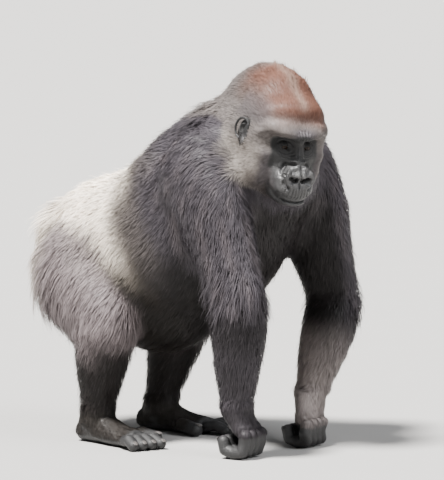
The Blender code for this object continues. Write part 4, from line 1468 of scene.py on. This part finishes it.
def eye_material():
    """Wet dark eye: the pupil, a fine-grained iris and a white that is nearly black."""
    material, nodes, shader = new_material("eye_wet")
    place = nodes.place()
    parts = nodes.add("SeparateXYZ", Vector=place).outputs
    across, upward = (nodes.maths("POWER", parts[axis], 2.0) for axis in ("X", "Y"))
    edge = nodes.maths("SQRT", nodes.plus(across, upward))
    fibres = nodes.noise(place, 900.0, 2.0)
    iris = nodes.mixed(fibres, rgba(skin_settings().iris_colour), (0.018, 0.010, 0.005, 1))
    rim = nodes.ranged(edge, 0.0062, 0.0105)
    white = nodes.mixed(rim, (0.009, 0.006, 0.005, 1), (0.016, 0.011, 0.009, 1))
    colour = nodes.mixed(nodes.ranged(edge, 0.0058, 0.0066), iris, white)
    colour = nodes.mixed(nodes.ranged(edge, 0.0030, 0.0024), colour, (0.003, 0.003, 0.003, 1))
    nodes.feed(shader, Base_Color=colour, Roughness=0.12, Specular_IOR_Level=0.10)
    nodes.feed(shader, Coat_Weight=0.08, Coat_Roughness=0.03)
    return material


# ---- The stage ----
def look_from(azimuth, elevation):
    """The way from what is looked at to the eye, with angles in degrees."""
    azimuth, elevation = math.radians(azimuth), math.radians(elevation)
    flat = math.cos(elevation)
    return Vector((math.sin(azimuth) * flat, -math.cos(azimuth) * flat, math.sin(elevation)))


def placed(name, data, place, way):
    """A camera or lamp that stands at a place and looks against the way given."""
    obj = new_object(name, data)
    obj.location = place
    obj.rotation_mode = "QUATERNION"
    obj.rotation_quaternion = (-way).to_track_quat("-Z", "Y")
    return obj


VIEW_AZIMUTH, VIEW_HEIGHT, VIEW_DISTANCE = -57, 4.5, 9.0
LENS, SENSOR_WIDTH, CLIP_END = 231.0, 36.0, 4000
LAMP_DISTANCE = 4
FLOOR_REACH, FLOOR_CORNERS = 3000, 60


class GORILLA_OT_stage(bpy.types.Operator):
    """Sets up the pale floor, the soft lights and the camera"""

    bl_idname = "gorilla.stage"
    bl_label = "Stage"

    def execute(self, context):
        scene, settings = context.scene, context.scene.gorilla_studio
        aim = on_body(0, -0.1, 0.6)
        back = look_from(VIEW_AZIMUTH, VIEW_HEIGHT)
        view = bpy.data.cameras.new("camera")
        view.lens, view.sensor_width, view.clip_end = LENS, SENSOR_WIDTH, CLIP_END
        scene.camera = placed("camera", view, aim + back * VIEW_DISTANCE, back)
        angles = [math.tau * i / FLOOR_CORNERS for i in range(FLOOR_CORNERS)]
        ring = [(FLOOR_REACH * math.cos(a), FLOOR_REACH * math.sin(a), 0) for a in angles]
        floor = new_object("floor", mesh_from("floor", ring, [list(range(FLOOR_CORNERS))]))
        material, nodes, shader = new_material("floor_pale")
        low = tuple(c * 0.97 for c in settings.floor_colour)
        grain = nodes.noise(nodes.place(), 3.0, 4.0)
        colour = nodes.mixed(grain, rgba(low), rgba(settings.floor_colour))
        nodes.feed(shader, Base_Color=colour, Roughness=0.85)
        floor.data.materials.append(material)
        scene.world = bpy.data.worlds.new("room")
        scene.world.use_nodes = True
        backdrop = scene.world.node_tree.nodes["Background"]
        backdrop.inputs[0].default_value = (0.96, 0.98, 1.0, 1)
        backdrop.inputs[1].default_value = settings.fill_strength
        for name, azimuth, elevation, spread, share, colour in (
            ("key", -104, 64, 12, 1.0, (1.0, 0.98, 0.95)),
            ("front", -5, 42, 35, 0.16, (0.97, 0.98, 1.0)),
        ):
            light = bpy.data.lights.new(name, "SUN")
            light.energy, light.color = settings.key_strength * share, colour
            light.angle = math.radians(spread)
            way = look_from(azimuth, elevation)
            placed(name, light, aim + way * LAMP_DISTANCE, way)
        return {"FINISHED"}


# ---- Add-on ----
PIECE_OPERATORS = (
    GORILLA_OT_stage,
    GORILLA_OT_skin,
    GORILLA_OT_eyes,
    GORILLA_OT_nails,
    GORILLA_OT_coat,
)


class GORILLA_PT_panel(bpy.types.Panel):
    """Lists the gorilla's pieces in the sidebar"""

    bl_idname = "GORILLA_PT_panel"
    bl_label = "Gorilla"
    bl_space_type = "VIEW_3D"
    bl_region_type = "UI"
    bl_category = "Gorilla"

    def draw(self, context):
        for operator in PIECE_OPERATORS:
            self.layout.operator(operator.bl_idname)


SETTINGS = {
    "gorilla_skin": GorillaSkinSettings,
    "gorilla_coat": GorillaCoatSettings,
    "gorilla_studio": GorillaStudioSettings,
}


def register():
    for group in SETTINGS.values():
        bpy.utils.register_class(group)
    for name, group in SETTINGS.items():
        setattr(bpy.types.Scene, name, bpy.props.PointerProperty(type=group))
    for item in PIECE_OPERATORS + (GORILLA_PT_panel,):
        bpy.utils.register_class(item)


def unregister():
    for item in (GORILLA_PT_panel,) + PIECE_OPERATORS[::-1]:
        bpy.utils.unregister_class(item)
    for name, group in SETTINGS.items():
        delattr(bpy.types.Scene, name)
        bpy.utils.unregister_class(group)


def main():
    for name in ("Cube", "Light", "Camera"):
        if name in bpy.data.objects:
            bpy.data.objects.remove(bpy.data.objects[name])
    register()
    bpy.ops.gorilla.stage()
    bpy.ops.gorilla.skin()
    bpy.ops.gorilla.eyes()
    bpy.ops.gorilla.nails()
    bpy.ops.gorilla.coat()


if __name__ == "__main__":
    main()
